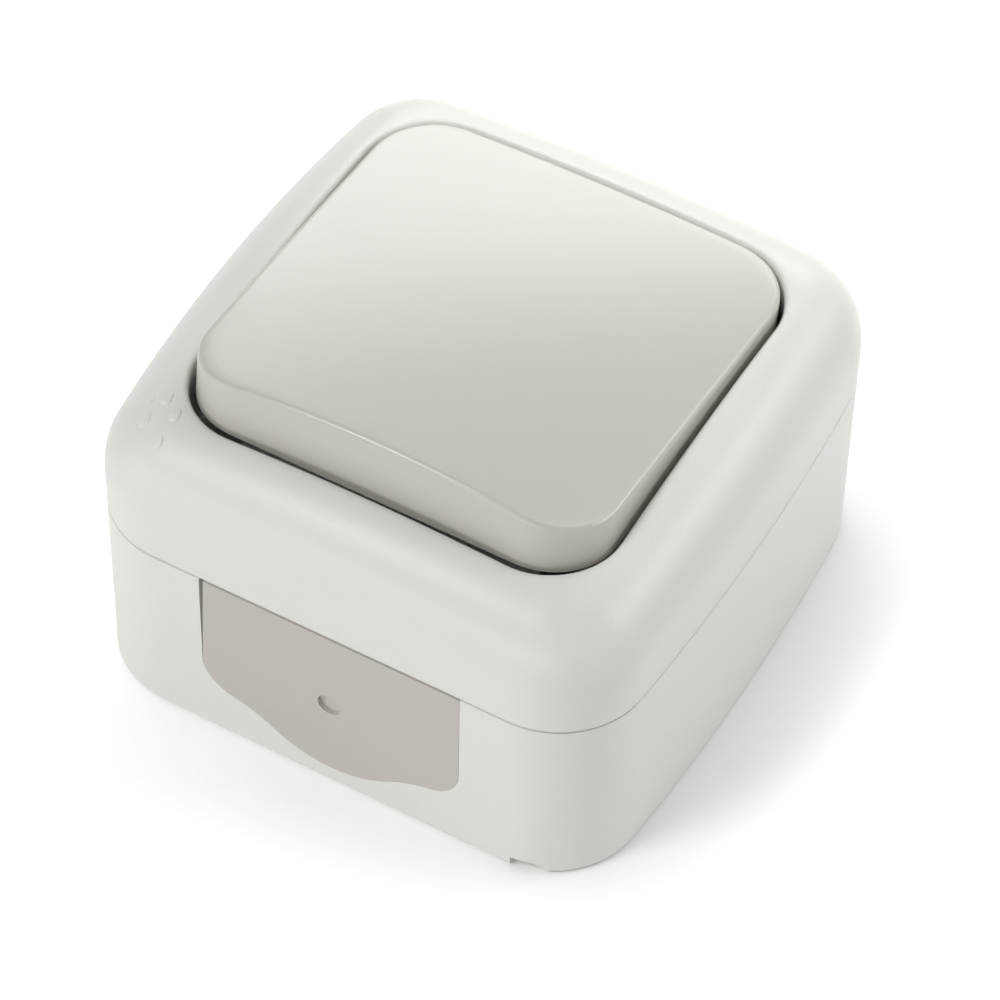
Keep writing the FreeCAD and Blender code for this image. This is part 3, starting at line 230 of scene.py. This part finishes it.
class Stage(bpy.types.PropertyGroup):
    """Floor, light and camera."""
    floor: colour("Floor", "Pale floor", "F4F4F3")
    lift: FloatProperty(name="Floor lift", description="Glow that brings the lit floor up to white",
                        default=0.45)
    key: power("Key", "Power of the softbox at the upper left front", 3.0)
    left_front: power("Left front", "Power of the low panel at the left front", 1.6)
    front: power("Front", "Power of the low panel in front", 2.5)
    right_rear: power("Right rear", "Power of the panel at the right rear", 3.6)
    high_rear: power("High rear", "Power of the softbox high at the right rear", 2.0)
    rear: power("Rear", "Power of the strip close behind", 0.15)


# Materials

def add_node(tree, kind, settings=None, **links):
    """Adds a node with its settings, and sets or links its inputs by their names."""
    node = tree.nodes.new(kind)
    for key, value in (settings or {}).items():
        setattr(node, key, value)
    for key, value in links.items():
        socket = node.inputs[key.replace("_", " ")]
        if isinstance(value, bpy.types.NodeSocket):
            tree.links.new(value, socket)
        else:
            socket.default_value = value
    return node


def new_material(name):
    """An empty material and its node tree."""
    material = bpy.data.materials.new(name)
    material.use_nodes = True
    material.node_tree.nodes.clear()
    return material, material.node_tree


def shade(base, factor):
    """A linear colour made lighter or darker."""
    return [min(1.0, part * factor) for part in base] + [1.0]


def moulded(name, base, roughness, grain, depth, ior=PLASTIC_IOR, drift=0.015, spread=0.05):
    """A moulded polymer: fine grain in the surface, slow drift in the colour, patchy gloss."""
    material, tree = new_material(name)
    place = add_node(tree, "ShaderNodeTexCoord").outputs["Object"]
    flow = add_node(tree, "ShaderNodeTexNoise", Vector=place, Scale=1 / DRIFT_SIZE, Detail=2.0)
    tint = add_node(tree, "ShaderNodeMix", {"data_type": "RGBA"})
    tree.links.new(flow.outputs["Fac"], tint.inputs[MIX_FACTOR])
    tint.inputs[MIX_LOW].default_value = shade(base, 1 - drift)
    tint.inputs[MIX_HIGH].default_value = shade(base, 1 + drift)
    specks = add_node(tree, "ShaderNodeTexNoise", Vector=place, Scale=1 / grain, Detail=3.0, Roughness=0.6)
    gloss = add_node(tree, "ShaderNodeMapRange", Value=specks.outputs["Fac"], To_Min=roughness - spread,
                     To_Max=roughness + spread)
    relief = add_node(tree, "ShaderNodeBump", Height=specks.outputs["Fac"], Distance=depth, Strength=1.0)
    shader = add_node(tree, "ShaderNodeBsdfPrincipled", Base_Color=tint.outputs[MIX_RESULT],
                      Roughness=gloss.outputs[0], Normal=relief.outputs[0], IOR=ior)
    add_node(tree, "ShaderNodeOutputMaterial", Surface=shader.outputs[0])
    return material


def metal(name, base, roughness, grain, stretch):
    """A bare or plated metal with drawn or rolled lines along X."""
    material, tree = new_material(name)
    place = add_node(tree, "ShaderNodeTexCoord").outputs["Object"]
    drawn = add_node(tree, "ShaderNodeMapping", Vector=place, Scale=(1 / stretch, 1.0, 1.0))
    lines = add_node(tree, "ShaderNodeTexNoise", Vector=drawn.outputs[0], Scale=1 / grain, Detail=2.0)
    gloss = add_node(tree, "ShaderNodeMapRange", Value=lines.outputs["Fac"],
                     To_Min=roughness * (1 - LINE_GLOSS), To_Max=roughness * (1 + LINE_GLOSS))
    tint = add_node(tree, "ShaderNodeMix", {"data_type": "RGBA"})
    tree.links.new(lines.outputs["Fac"], tint.inputs[MIX_FACTOR])
    tint.inputs[MIX_LOW].default_value = shade(base, LINE_DARK)
    tint.inputs[MIX_HIGH].default_value = shade(base, LINE_LIGHT)
    relief = add_node(tree, "ShaderNodeBump", Height=lines.outputs["Fac"], Distance=LINE_DEPTH, Strength=1.0)
    shader = add_node(tree, "ShaderNodeBsdfPrincipled", Base_Color=tint.outputs[MIX_RESULT], Metallic=1.0,
                      Roughness=gloss.outputs[0], Normal=relief.outputs[0])
    add_node(tree, "ShaderNodeOutputMaterial", Surface=shader.outputs[0])
    return material


def case_plastic(finishes):
    """The plastic that the frame, its drops and the box share."""
    # Moulded ABS from a spark-eroded tool: an even fine grain that spreads highlights softly. The real
    # grain of about 0.1 mm is too fine to show, so it is drawn at 0.45 mm.
    name = "Moulded ABS, spark-eroded"
    found = bpy.data.materials.get(name)
    return found or moulded(name, finishes.case, roughness=0.4, grain=0.45 * MM, depth=0.03 * MM)


def dress(item, material):
    """Gives an object one material all over."""
    item.data.materials.clear()
    item.data.materials.append(material)


# Meshes

def outline(half_x, half_y, corner, bow=0.0):
    """Points round a plan with straight front and back, straight or bowed sides and round corners."""
    y = half_y - corner
    x = half_x - corner
    lean = 0.0
    middle = half_x - bow
    if bow:
        x = middle + math.sqrt((bow - corner) ** 2 - y ** 2)
        lean = math.atan2(y, x - middle)
    turn = math.pi / 2
    points = []
    for step in range(RUN_STEPS):
        points.append((-x + 2 * x * step / RUN_STEPS, -half_y))
    for step in range(CORNER_STEPS):
        angle = -turn + (turn - lean) * step / CORNER_STEPS
        points.append((x + corner * math.cos(angle), -y + corner * math.sin(angle)))
    for step in range(RUN_STEPS):
        share = step / RUN_STEPS
        if bow:
            angle = -lean + 2 * lean * share
            points.append((middle + bow * math.cos(angle), bow * math.sin(angle)))
        else:
            points.append((half_x, -y + 2 * y * share))
    for step in range(CORNER_STEPS):
        angle = lean + (turn - lean) * step / CORNER_STEPS
        points.append((x + corner * math.cos(angle), y + corner * math.sin(angle)))
    return [Vector(point) for point in points] + [Vector((-px, -py)) for px, py in points]


def level(points, height):
    """A plan's points at one height."""
    return [Vector((point.x, point.y, height)) for point in points]


def loft(mesh, rings, closed=False):
    """Joins rings of equal count with quads, and the last ring to the first if closed."""
    layers = [[mesh.verts.new(point) for point in ring] for ring in rings]
    pairs = list(zip(layers, layers[1:]))
    if closed:
        pairs.append((layers[-1], layers[0]))
    for low, high in pairs:
        count = len(low)
        for step in range(count):
            after = (step + 1) % count
            mesh.faces.new((low[step], low[after], high[after], high[step]))
    return layers


def cap(mesh, ring, centre):
    """Closes a ring with a fan about a point."""
    middle = mesh.verts.new(centre)
    for step in range(len(ring)):
        mesh.faces.new((ring[step], ring[(step + 1) % len(ring)], middle))


def prism(points, along):
    """A closed solid: a flat outline pushed along a vector."""
    mesh = bmesh.new()
    low, high = loft(mesh, [points, [Vector(point) + Vector(along) for point in points]])
    mesh.faces.new(low)
    mesh.faces.new(high)
    bmesh.ops.recalc_face_normals(mesh, faces=mesh.faces)
    return mesh


def rod(x, y, radius, low, high):
    """An upright closed cylinder."""
    ring = [Vector((x + radius * math.cos(turn), y + radius * math.sin(turn), low)) for turn in FULL_TURN]
    return prism(ring, (0, 0, high - low))


def combine(mesh, changes):
    """Joins closed solids to a closed solid, or cuts them from it, in turn."""
    items = []
    for solid in [mesh] + [part for operation, part in changes]:
        bmesh.ops.recalc_face_normals(solid, faces=solid.faces)
        data = bpy.data.meshes.new("solid")
        solid.to_mesh(data)
        solid.free()
        item = bpy.data.objects.new("solid", data)
        bpy.context.scene.collection.objects.link(item)
        items.append(item)
    for tool, (operation, part) in zip(items[1:], changes):
        modifier = items[0].modifiers.new("change", "BOOLEAN")
        modifier.operation = operation
        modifier.solver = "EXACT"
        modifier.object = tool
    result = bmesh.new()
    result.from_object(items[0], bpy.context.evaluated_depsgraph_get())
    for item in items:
        bpy.data.meshes.remove(item.data)
    return result


def finish_piece(name, mesh, body, material):
    """Turns a bmesh into a piece that rides on a body, smooth but for its creases."""
    bmesh.ops.recalc_face_normals(mesh, faces=mesh.faces)
    for face in mesh.faces:
        face.smooth = True
    for edge in mesh.edges:
        edge.smooth = edge.calc_face_angle(0.0) < CREASE
    data = bpy.data.meshes.new(name)
    mesh.to_mesh(data)
    mesh.free()
    item = bpy.data.objects.new(name, data)
    bpy.context.scene.collection.objects.link(item)
    dress(item, material)
    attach(item, body)
    return item


class FrameSurface:
    """The frame's front: vertical sides, a rolled brow and a dome, as a height over the plan."""

    def __init__(self, shape):
        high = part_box("front_frame")[1]
        self.half_x = high.x
        self.half_y = high.y
        self.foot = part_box("rear_box")[1].z + shape.seam
        self.shape = shape
        self.corner_y = self.half_y - shape.corner
        self.middle = self.half_x - shape.side_radius
        self.corner_x = self.middle + math.sqrt((shape.side_radius - shape.corner) ** 2 - self.corner_y ** 2)

    def plan(self, inset):
        """Outline of the sides, moved inwards."""
        shape = self.shape
        return outline(self.half_x - inset, self.half_y - inset, shape.corner - inset,
                       shape.side_radius - inset)

    def ball(self, x, y):
        """Centre of the ball that rolls between side and dome, nearest to a point of the plan."""
        shape = self.shape
        inner = shape.corner - shape.brow
        if x > self.corner_x and y > self.corner_y:
            away = Vector((x - self.corner_x, y - self.corner_y))
            return Vector((self.corner_x, self.corner_y)) + away.normalized() * inner
        to_side = Vector((x - self.middle, y))
        side = to_side.length - (shape.side_radius - shape.brow)
        front = y - (self.half_y - shape.brow)
        if front > side:
            return Vector((x, self.half_y - shape.brow))
        return Vector((self.middle, 0)) + to_side.normalized() * (shape.side_radius - shape.brow)

    def height(self, point):
        """Height of the front over a point of the plan."""
        shape = self.shape
        spot = Vector((abs(point.x), abs(point.y)))
        base = shape.dome_top - shape.dome_radius
        centre = self.ball(spot.x, spot.y)
        away = spot - centre
        reach = shape.dome_radius - shape.brow
        outward = away.dot(centre) > 0
        touch = shape.brow * centre.length / reach
        if not outward or away.length < touch * DOME_SHARE:
            return base + math.sqrt(shape.dome_radius ** 2 - spot.length_squared)
        rise = max(0.0, shape.brow ** 2 - away.length_squared)
        return base + math.sqrt(reach ** 2 - centre.length_squared) + math.sqrt(rise)


def arc_steps(count):
    """Angles from nothing to a quarter turn."""
    return [math.pi / 2 * step / count for step in range(count + 1)]


def frame_rings(shape):
    """Rings of the frame's section, from its foot over the brow into the well and back underneath."""
    surface = FrameSurface(shape)
    foot = surface.foot
    rings = []
    for angle in arc_steps(FOOT_STEPS):
        inset = shape.foot_round * (1 - math.sin(angle))
        rings.append(level(surface.plan(inset), foot + shape.foot_round * (1 - math.cos(angle))))
    outer = surface.plan(0.0)
    springs = [surface.height(point) for point in outer]
    start = foot + shape.foot_round
    for share in SIDE_SHARES:
        rings.append([Vector((p.x, p.y, start + (z - start) * share)) for p, z in zip(outer, springs)])
    rim = outline(shape.opening_width / 2, shape.opening_depth / 2, shape.opening_corner)
    edge = outline(shape.opening_width / 2 + shape.rim_round, shape.opening_depth / 2 + shape.rim_round,
                   shape.opening_corner + shape.rim_round)
    for step in range(1, BROW_STEPS + 1):
        share = (1 - math.cos(BROW_SWEEP * step / BROW_STEPS)) / (1 - math.cos(BROW_SWEEP))
        ring = []
        for near, far in zip(outer, edge):
            spot = near.lerp(far, share)
            ring.append(Vector((spot.x, spot.y, surface.height(spot))))
        rings.append(ring)
    top = rings[-1]
    for angle in arc_steps(RIM_STEPS)[1:]:
        ring = []
        for near, far, crest in zip(edge, rim, top):
            spot = near.lerp(far, math.sin(angle))
            ring.append(Vector((spot.x, spot.y, crest.z - shape.rim_round * (1 - math.cos(angle)))))
        rings.append(ring)
    floor = shape.well_floor
    thick = shape.well_thick
    window = outline(shape.window_width / 2, shape.window_depth / 2, shape.window_corner)
    behind = outline(shape.opening_width / 2 + thick, shape.opening_depth / 2 + thick,
                     shape.opening_corner + thick)
    inner = surface.plan(shape.wall)
    rings += [level(rim, floor), level(window, floor), level(window, floor - thick),
              level(behind, floor - thick), level(behind, shape.hollow), level(inner, shape.hollow),
              level(inner, foot)]
    return rings


def drop_rings(surface, shape, place, share):
    """Rings of a raised drop on the frame, round at the front and drawn out to a tail at the back."""
    half = shape.drop_width / 2 * share
    tail = shape.drop_length * share - half
    plan = []
    for turn in FULL_TURN:
        along = math.sin(turn)
        reach = tail * along if along > 0 else half * along
        taper = 1 - max(0.0, along) ** DROP_TAPER_POWER * DROP_TAPER
        plan.append(Vector((half * math.cos(turn) * taper, reach)))
    rings = []
    for angle in [DROP_ROOT] + arc_steps(DROP_STEPS)[:-1]:
        ring = []
        for point in plan:
            spot = place + point * math.cos(max(0.0, angle))
            rise = shape.drop_height * share * math.sin(angle)
            ring.append(Vector((spot.x, spot.y, surface.height(spot) + rise)))
        rings.append(ring)
    return rings


class SWITCH_OT_frame(bpy.types.Operator):
    """Build the domed frame with its rolled brow and rocker well"""
    bl_idname = "switch.frame"
    bl_label = "Front frame"

    def execute(self, context):
        look = context.scene.switch_look
        shape = look.case
        mesh = bmesh.new()
        loft(mesh, frame_rings(shape), closed=True)
        changes = []
        below = shape.boss_foot - shape.well_thick
        under = shape.well_floor - shape.well_thick / 2
        over = shape.well_floor + shape.well_thick
        for x in (-shape.screw_offset, shape.screw_offset):
            changes.append(("UNION", rod(x, -x, shape.boss_radius, shape.boss_foot, under)))
            changes.append(("DIFFERENCE", rod(x, -x, shape.screw_hole, below, over)))
        mesh = combine(mesh, changes)
        plastic = case_plastic(look.finishes)
        piece = finish_piece("frame_cover", mesh, "housing", plastic)
        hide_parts("front_frame")
        drops = bmesh.new()
        surface = FrameSurface(shape)
        for x, y, share in DROPS:
            place = Vector((x, y)) * MM
            layers = loft(drops, drop_rings(surface, shape, place, share))
            top = surface.height(place) + shape.drop_height * share
            cap(drops, layers[-1], (place.x, place.y, top))
            drops.faces.new(layers[0])
        finish_piece("moulded_drops", drops, "housing", plastic)
        return {"FINISHED"}


class SWITCH_OT_box(bpy.types.Operator):
    """Dress the rear box"""
    bl_idname = "switch.box"
    bl_label = "Rear box"

    def execute(self, context):
        dress(NODES["rear_box"], case_plastic(context.scene.switch_look.finishes))
        return {"FINISHED"}


class SWITCH_OT_membrane(bpy.types.Operator):
    """Dress the soft cable membrane"""
    bl_idname = "switch.membrane"
    bl_label = "Cable membrane"

    def execute(self, context):
        finishes = context.scene.switch_look.finishes
        # Moulded thermoplastic rubber: dull, faintly mottled and soft to the eye. Its grain of about 0.1 mm
        # is too fine to show, so it is drawn at 0.5 mm.
        soft = moulded("Moulded soft rubber", finishes.membrane, roughness=0.72, grain=0.5 * MM,
                       depth=0.02 * MM, ior=RUBBER_IOR, drift=0.03)
        dress(NODES["cable_membrane"], soft)
        return {"FINISHED"}


def rocker_rings(shape, half_x, half_y, corner):
    """Rings of the rocker's shell about its pivot, from the inside of its skirt to the crown."""
    def crown(point):
        """Height of the top, which curves most at the front edge and least at the rear."""
        share = (point.y + half_y) / (2 * half_y)
        radius = 1 / ((1 - share) / shape.crown_front + share / shape.crown_rear)
        return shape.top - radius + math.sqrt(radius ** 2 - point.x ** 2)
    outer = outline(half_x, half_y, corner)
    inner = outline(half_x - shape.wall, half_y - shape.wall, corner - shape.wall)
    rings = [level(inner, shape.ceiling), level(inner, -shape.skirt), level(outer, -shape.skirt)]
    for share in SKIRT_SHARES:
        rings.append([Vector((p.x, p.y, -shape.skirt + (crown(p) - shape.edge + shape.skirt) * share))
                      for p in outer])
    for angle in arc_steps(EDGE_STEPS)[1:]:
        inset = shape.edge * (1 - math.cos(angle))
        ring = outline(half_x - inset, half_y - inset, corner - inset)
        rings.append([Vector((p.x, p.y, crown(p) - shape.edge * (1 - math.sin(angle)))) for p in ring])
    last = rings[-1]
    for share in CROWN_SHARES:
        rings.append([Vector((p.x * share, p.y * share, crown(p * share))) for p in last])
    return rings


def rocker_fittings(shape):
    """The rib ring and the two clips under the crown, each let into it a little."""
    root = (shape.top + shape.ceiling) / 2
    ribs = bmesh.new()
    outer = outline(shape.rib_width / 2, shape.rib_depth / 2, shape.rib_corner)
    inner = outline(shape.rib_width / 2 - shape.rib_thick, shape.rib_depth / 2 - shape.rib_thick,
                    shape.rib_corner - shape.rib_thick)
    loft(ribs, [level(outer, shape.rib_foot), level(outer, root), level(inner, root),
                level(inner, shape.rib_foot)], closed=True)
    solids = [ribs]
    for side in (-1, 1):
        near = shape.clip_inner
        far = near + shape.clip_thick
        foot = shape.clip_under - shape.clip_thick
        section = ((near, root), (far, root), (far, foot), (near, foot),
                   (near - shape.clip_hook, shape.clip_under), (near, shape.clip_under))
        points = [Vector((-shape.clip_width / 2, side * y, z)) for y, z in section]
        solids.append(prism(points, (shape.clip_width, 0, 0)))
    return solids


class SWITCH_OT_rocker(bpy.types.Operator):
    """Build the crowned rocker with its rib and clips"""
    bl_idname = "switch.rocker"
    bl_label = "Rocker"

    def execute(self, context):
        look = context.scene.switch_look
        shape = look.rocker
        case = look.case
        mesh = bmesh.new()
        half_x = case.opening_width / 2 - shape.side_gap
        half_y = case.opening_depth / 2 - shape.gap
        layers = loft(mesh, rocker_rings(shape, half_x, half_y, case.opening_corner - shape.gap))
        cap(mesh, layers[-1], Vector((0, 0, shape.top)))
        cap(mesh, layers[0], Vector((0, 0, shape.ceiling)))
        mesh = combine(mesh, [("UNION", tool) for tool in rocker_fittings(shape)])
        turn = Matrix.Translation(PIVOT) @ Matrix.Rotation(-shape.tilt, 4, "X")
        mesh.transform(turn)
        # Moulded ABS from a polished tool: satin, with clear soft reflections and a faint wave every 3 mm.
        satin = moulded("Moulded ABS, polished tool", look.finishes.rocker, roughness=0.23, grain=3.0 * MM,
                        depth=0.001 * MM, drift=0.006, spread=0.01)
        piece = finish_piece("rocker_button", mesh, "rocker", satin)
        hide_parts("rocker")
        return {"FINISHED"}


class SWITCH_OT_mechanism(bpy.types.Operator):
    """Dress the switch block, the contacts, the screws and the seals"""
    bl_idname = "switch.mechanism"
    bl_label = "Mechanism"

    def execute(self, context):
        finishes = context.scene.switch_look.finishes
        # Moulded polyamide: a dry, slightly warm white. Here and on the seals, a grain of about 0.1 mm is
        # drawn at 0.3 mm to show.
        block = moulded("Moulded polyamide", finishes.block, roughness=0.5, grain=0.3 * MM, depth=0.006 * MM)
        # Moulded rubber: dark and dull.
        seal = moulded("Moulded EPDM rubber", finishes.seal, roughness=0.8, grain=0.3 * MM, depth=0.01 * MM,
                       ior=RUBBER_IOR)
        # Zinc-plated steel: a cool sheen over drawn lines. The lines of all three metals are finer than
        # 0.05 mm, and are drawn wider to show.
        steel = metal("Zinc-plated drawn steel", finishes.steel, roughness=0.24, grain=0.12 * MM, stretch=6.0)
        # Stamped brass: rolled lines and a warm sheen.
        brass = metal("Stamped rolled brass", finishes.brass, roughness=0.22, grain=0.15 * MM, stretch=8.0)
        # Coined silver alloy: pale and softly bright.
        silver = metal("Coined silver alloy", finishes.silver, roughness=0.2, grain=0.2 * MM, stretch=1.0)
        slots = {"mechanism_plastic": block, "plunger_plastic": block, "seal_rubber": seal,
                 "zinc_steel": steel, "contact_brass": brass, "contact_silver": silver}
        for row in frame["record"]["subparts"]:
            if row["material_slot"] in slots:
                dress(NODES[row["node"]], slots[row["material_slot"]])
        return {"FINISHED"}


# Stage

def softbox(name, azimuth, elevation, distance, size, watts):
    """A flat lamp that faces the middle of the switch from a direction in degrees."""
    data = bpy.data.lights.new(name, "AREA")
    data.shape = "RECTANGLE"
    data.size, data.size_y = size
    data.energy = watts
    item = bpy.data.objects.new(name, data)
    turn = math.radians(azimuth)
    rise = math.radians(elevation)
    away = Vector((math.cos(turn) * math.cos(rise), math.sin(turn) * math.cos(rise), math.sin(rise)))
    item.location = MIDDLE + away * distance
    item.rotation_mode = "QUATERNION"
    item.rotation_quaternion = (-away).to_track_quat("-Z", "Y")
    item.visible_camera = False
    bpy.context.scene.collection.objects.link(item)


def seen_plainly(tree):
    """One for rays from the camera, mirrors and glass, and nothing for light that falls on surfaces."""
    path = add_node(tree, "ShaderNodeLightPath")
    seen = path.outputs["Is Camera Ray"]
    for name in ("Is Glossy Ray", "Is Transmission Ray"):
        either = add_node(tree, "ShaderNodeMath", {"operation": "MAXIMUM"})
        tree.links.new(seen, either.inputs[0])
        tree.links.new(path.outputs[name], either.inputs[1])
        seen = either.outputs[0]
    return seen


def white_surround():
    """A surround that looks white and gives the surfaces only a little light."""
    world = bpy.data.worlds.new("White surround")
    bpy.context.scene.world = world
    world.use_nodes = True
    tree = world.node_tree
    tree.nodes.clear()
    strength = add_node(tree, "ShaderNodeMapRange", Value=seen_plainly(tree), To_Min=FILL, To_Max=1.0)
    white = add_node(tree, "ShaderNodeBackground", Color=(1, 1, 1, 1), Strength=strength.outputs[0])
    add_node(tree, "ShaderNodeOutputWorld", Surface=white.outputs[0])


def pale_floor(base, lift):
    """A large pale floor that looks white, keeps the lamps' shadows and carries a painted shadow in its glow."""
    mesh = bmesh.new()
    bmesh.ops.create_grid(mesh, x_segments=1, y_segments=1, size=FLOOR_HALF)
    data = bpy.data.meshes.new("floor")
    mesh.to_mesh(data)
    mesh.free()
    floor = bpy.data.objects.new("floor", data)
    floor.location.z = -FLOOR_GAP
    bpy.context.scene.collection.objects.link(floor)
    # Matt white paper: even and without gloss, with a painted shadow in its glow.
    material, tree = new_material("Matt white paper")
    diffuse = add_node(tree, "ShaderNodeBsdfDiffuse", Color=list(base) + [1.0])
    strength = add_node(tree, "ShaderNodeMapRange", Value=seen_plainly(tree), To_Max=lift)
    # Painted shadow: ambient occlusion sensed towards the left darkens the glow, so shade is painted on the floor
    # to the switch's right, where no lamp casts it.
    side = add_node(tree, "ShaderNodeNormal")
    side.outputs[0].default_value = (math.cos(PAINTED_SHADOW_TURN) * math.sin(PAINTED_SHADOW_LEAN),
                                     math.sin(PAINTED_SHADOW_TURN) * math.sin(PAINTED_SHADOW_LEAN), math.cos(PAINTED_SHADOW_LEAN))
    # This occlusion darkens the glow next to the switch: it paints the shadow.
    painted_shadow = add_node(tree, "ShaderNodeAmbientOcclusion", {"samples": PAINTED_SHADOW_SAMPLES}, Distance=PAINTED_SHADOW_REACH,
                       Normal=side.outputs[0])
    share = add_node(tree, "ShaderNodeMapRange", Value=painted_shadow.outputs["AO"], From_Min=PAINTED_SHADOW_FULL_AT,
                     From_Max=PAINTED_SHADOW_NONE_AT)
    near = add_node(tree, "ShaderNodeMath", {"operation": "MULTIPLY"})
    tree.links.new(strength.outputs[0], near.inputs[0])
    tree.links.new(share.outputs[0], near.inputs[1])
    # The glow lifts the floor to white, except where the painted shadow falls.
    glow = add_node(tree, "ShaderNodeEmission", Strength=near.outputs[0])
    both = add_node(tree, "ShaderNodeAddShader")
    tree.links.new(diffuse.outputs[0], both.inputs[0])
    tree.links.new(glow.outputs[0], both.inputs[1])
    add_node(tree, "ShaderNodeOutputMaterial", Surface=both.outputs[0])
    dress(floor, material)


class SWITCH_OT_stage(bpy.types.Operator):
    """Set up the pale floor, the soft light and the camera"""
    bl_idname = "switch.stage"
    bl_label = "Stage"

    def execute(self, context):
        scene = context.scene
        stage = scene.switch_look.stage
        scene.view_settings.view_transform = "Standard"
        white_surround()
        pale_floor(stage.floor, stage.lift)
        for name, watts, azimuth, elevation, distance, size in LAMPS:
            softbox(name, azimuth, elevation, distance, size, getattr(stage, watts))
        camera = bpy.data.objects.new("camera", bpy.data.cameras.new("camera"))
        camera.data.lens = CAMERA_LENS
        camera.data.sensor_width = CAMERA_SENSOR
        camera.data.clip_start = CAMERA_NEAR
        camera.location = CAMERA_PLACE
        camera.rotation_mode = "QUATERNION"
        camera.rotation_quaternion = CAMERA_AIM.to_track_quat("-Z", "Y") @ CAMERA_ROLL
        scene.collection.objects.link(camera)
        scene.camera = camera
        return {"FINISHED"}


class SwitchLook(bpy.types.PropertyGroup):
    """All that a user would change."""
    case: PointerProperty(type=CaseShape)
    rocker: PointerProperty(type=RockerShape)
    finishes: PointerProperty(type=Finishes)
    stage: PointerProperty(type=Stage)


OPERATORS = (SWITCH_OT_frame, SWITCH_OT_box, SWITCH_OT_membrane, SWITCH_OT_rocker, SWITCH_OT_mechanism,
             SWITCH_OT_stage)


class SWITCH_PT_panel(bpy.types.Panel):
    """Lists the pieces of the switch"""
    bl_idname = "SWITCH_PT_panel"
    bl_label = "Weatherproof switch"
    bl_space_type = "VIEW_3D"
    bl_region_type = "UI"
    bl_category = "Switch"

    def draw(self, context):
        for operator in OPERATORS:
            self.layout.operator(operator.bl_idname)


CLASSES = (CaseShape, RockerShape, Finishes, Stage, SwitchLook) + OPERATORS + (SWITCH_PT_panel,)


def register():
    for item in CLASSES:
        bpy.utils.register_class(item)
    bpy.types.Scene.switch_look = PointerProperty(type=SwitchLook)


def unregister():
    del bpy.types.Scene.switch_look
    for item in reversed(CLASSES):
        bpy.utils.unregister_class(item)


def main():
    register()
    for operator in OPERATORS:
        group, name = operator.bl_idname.split(".")
        getattr(getattr(bpy.ops, group), name)()


if __name__ == "__main__":
    main()
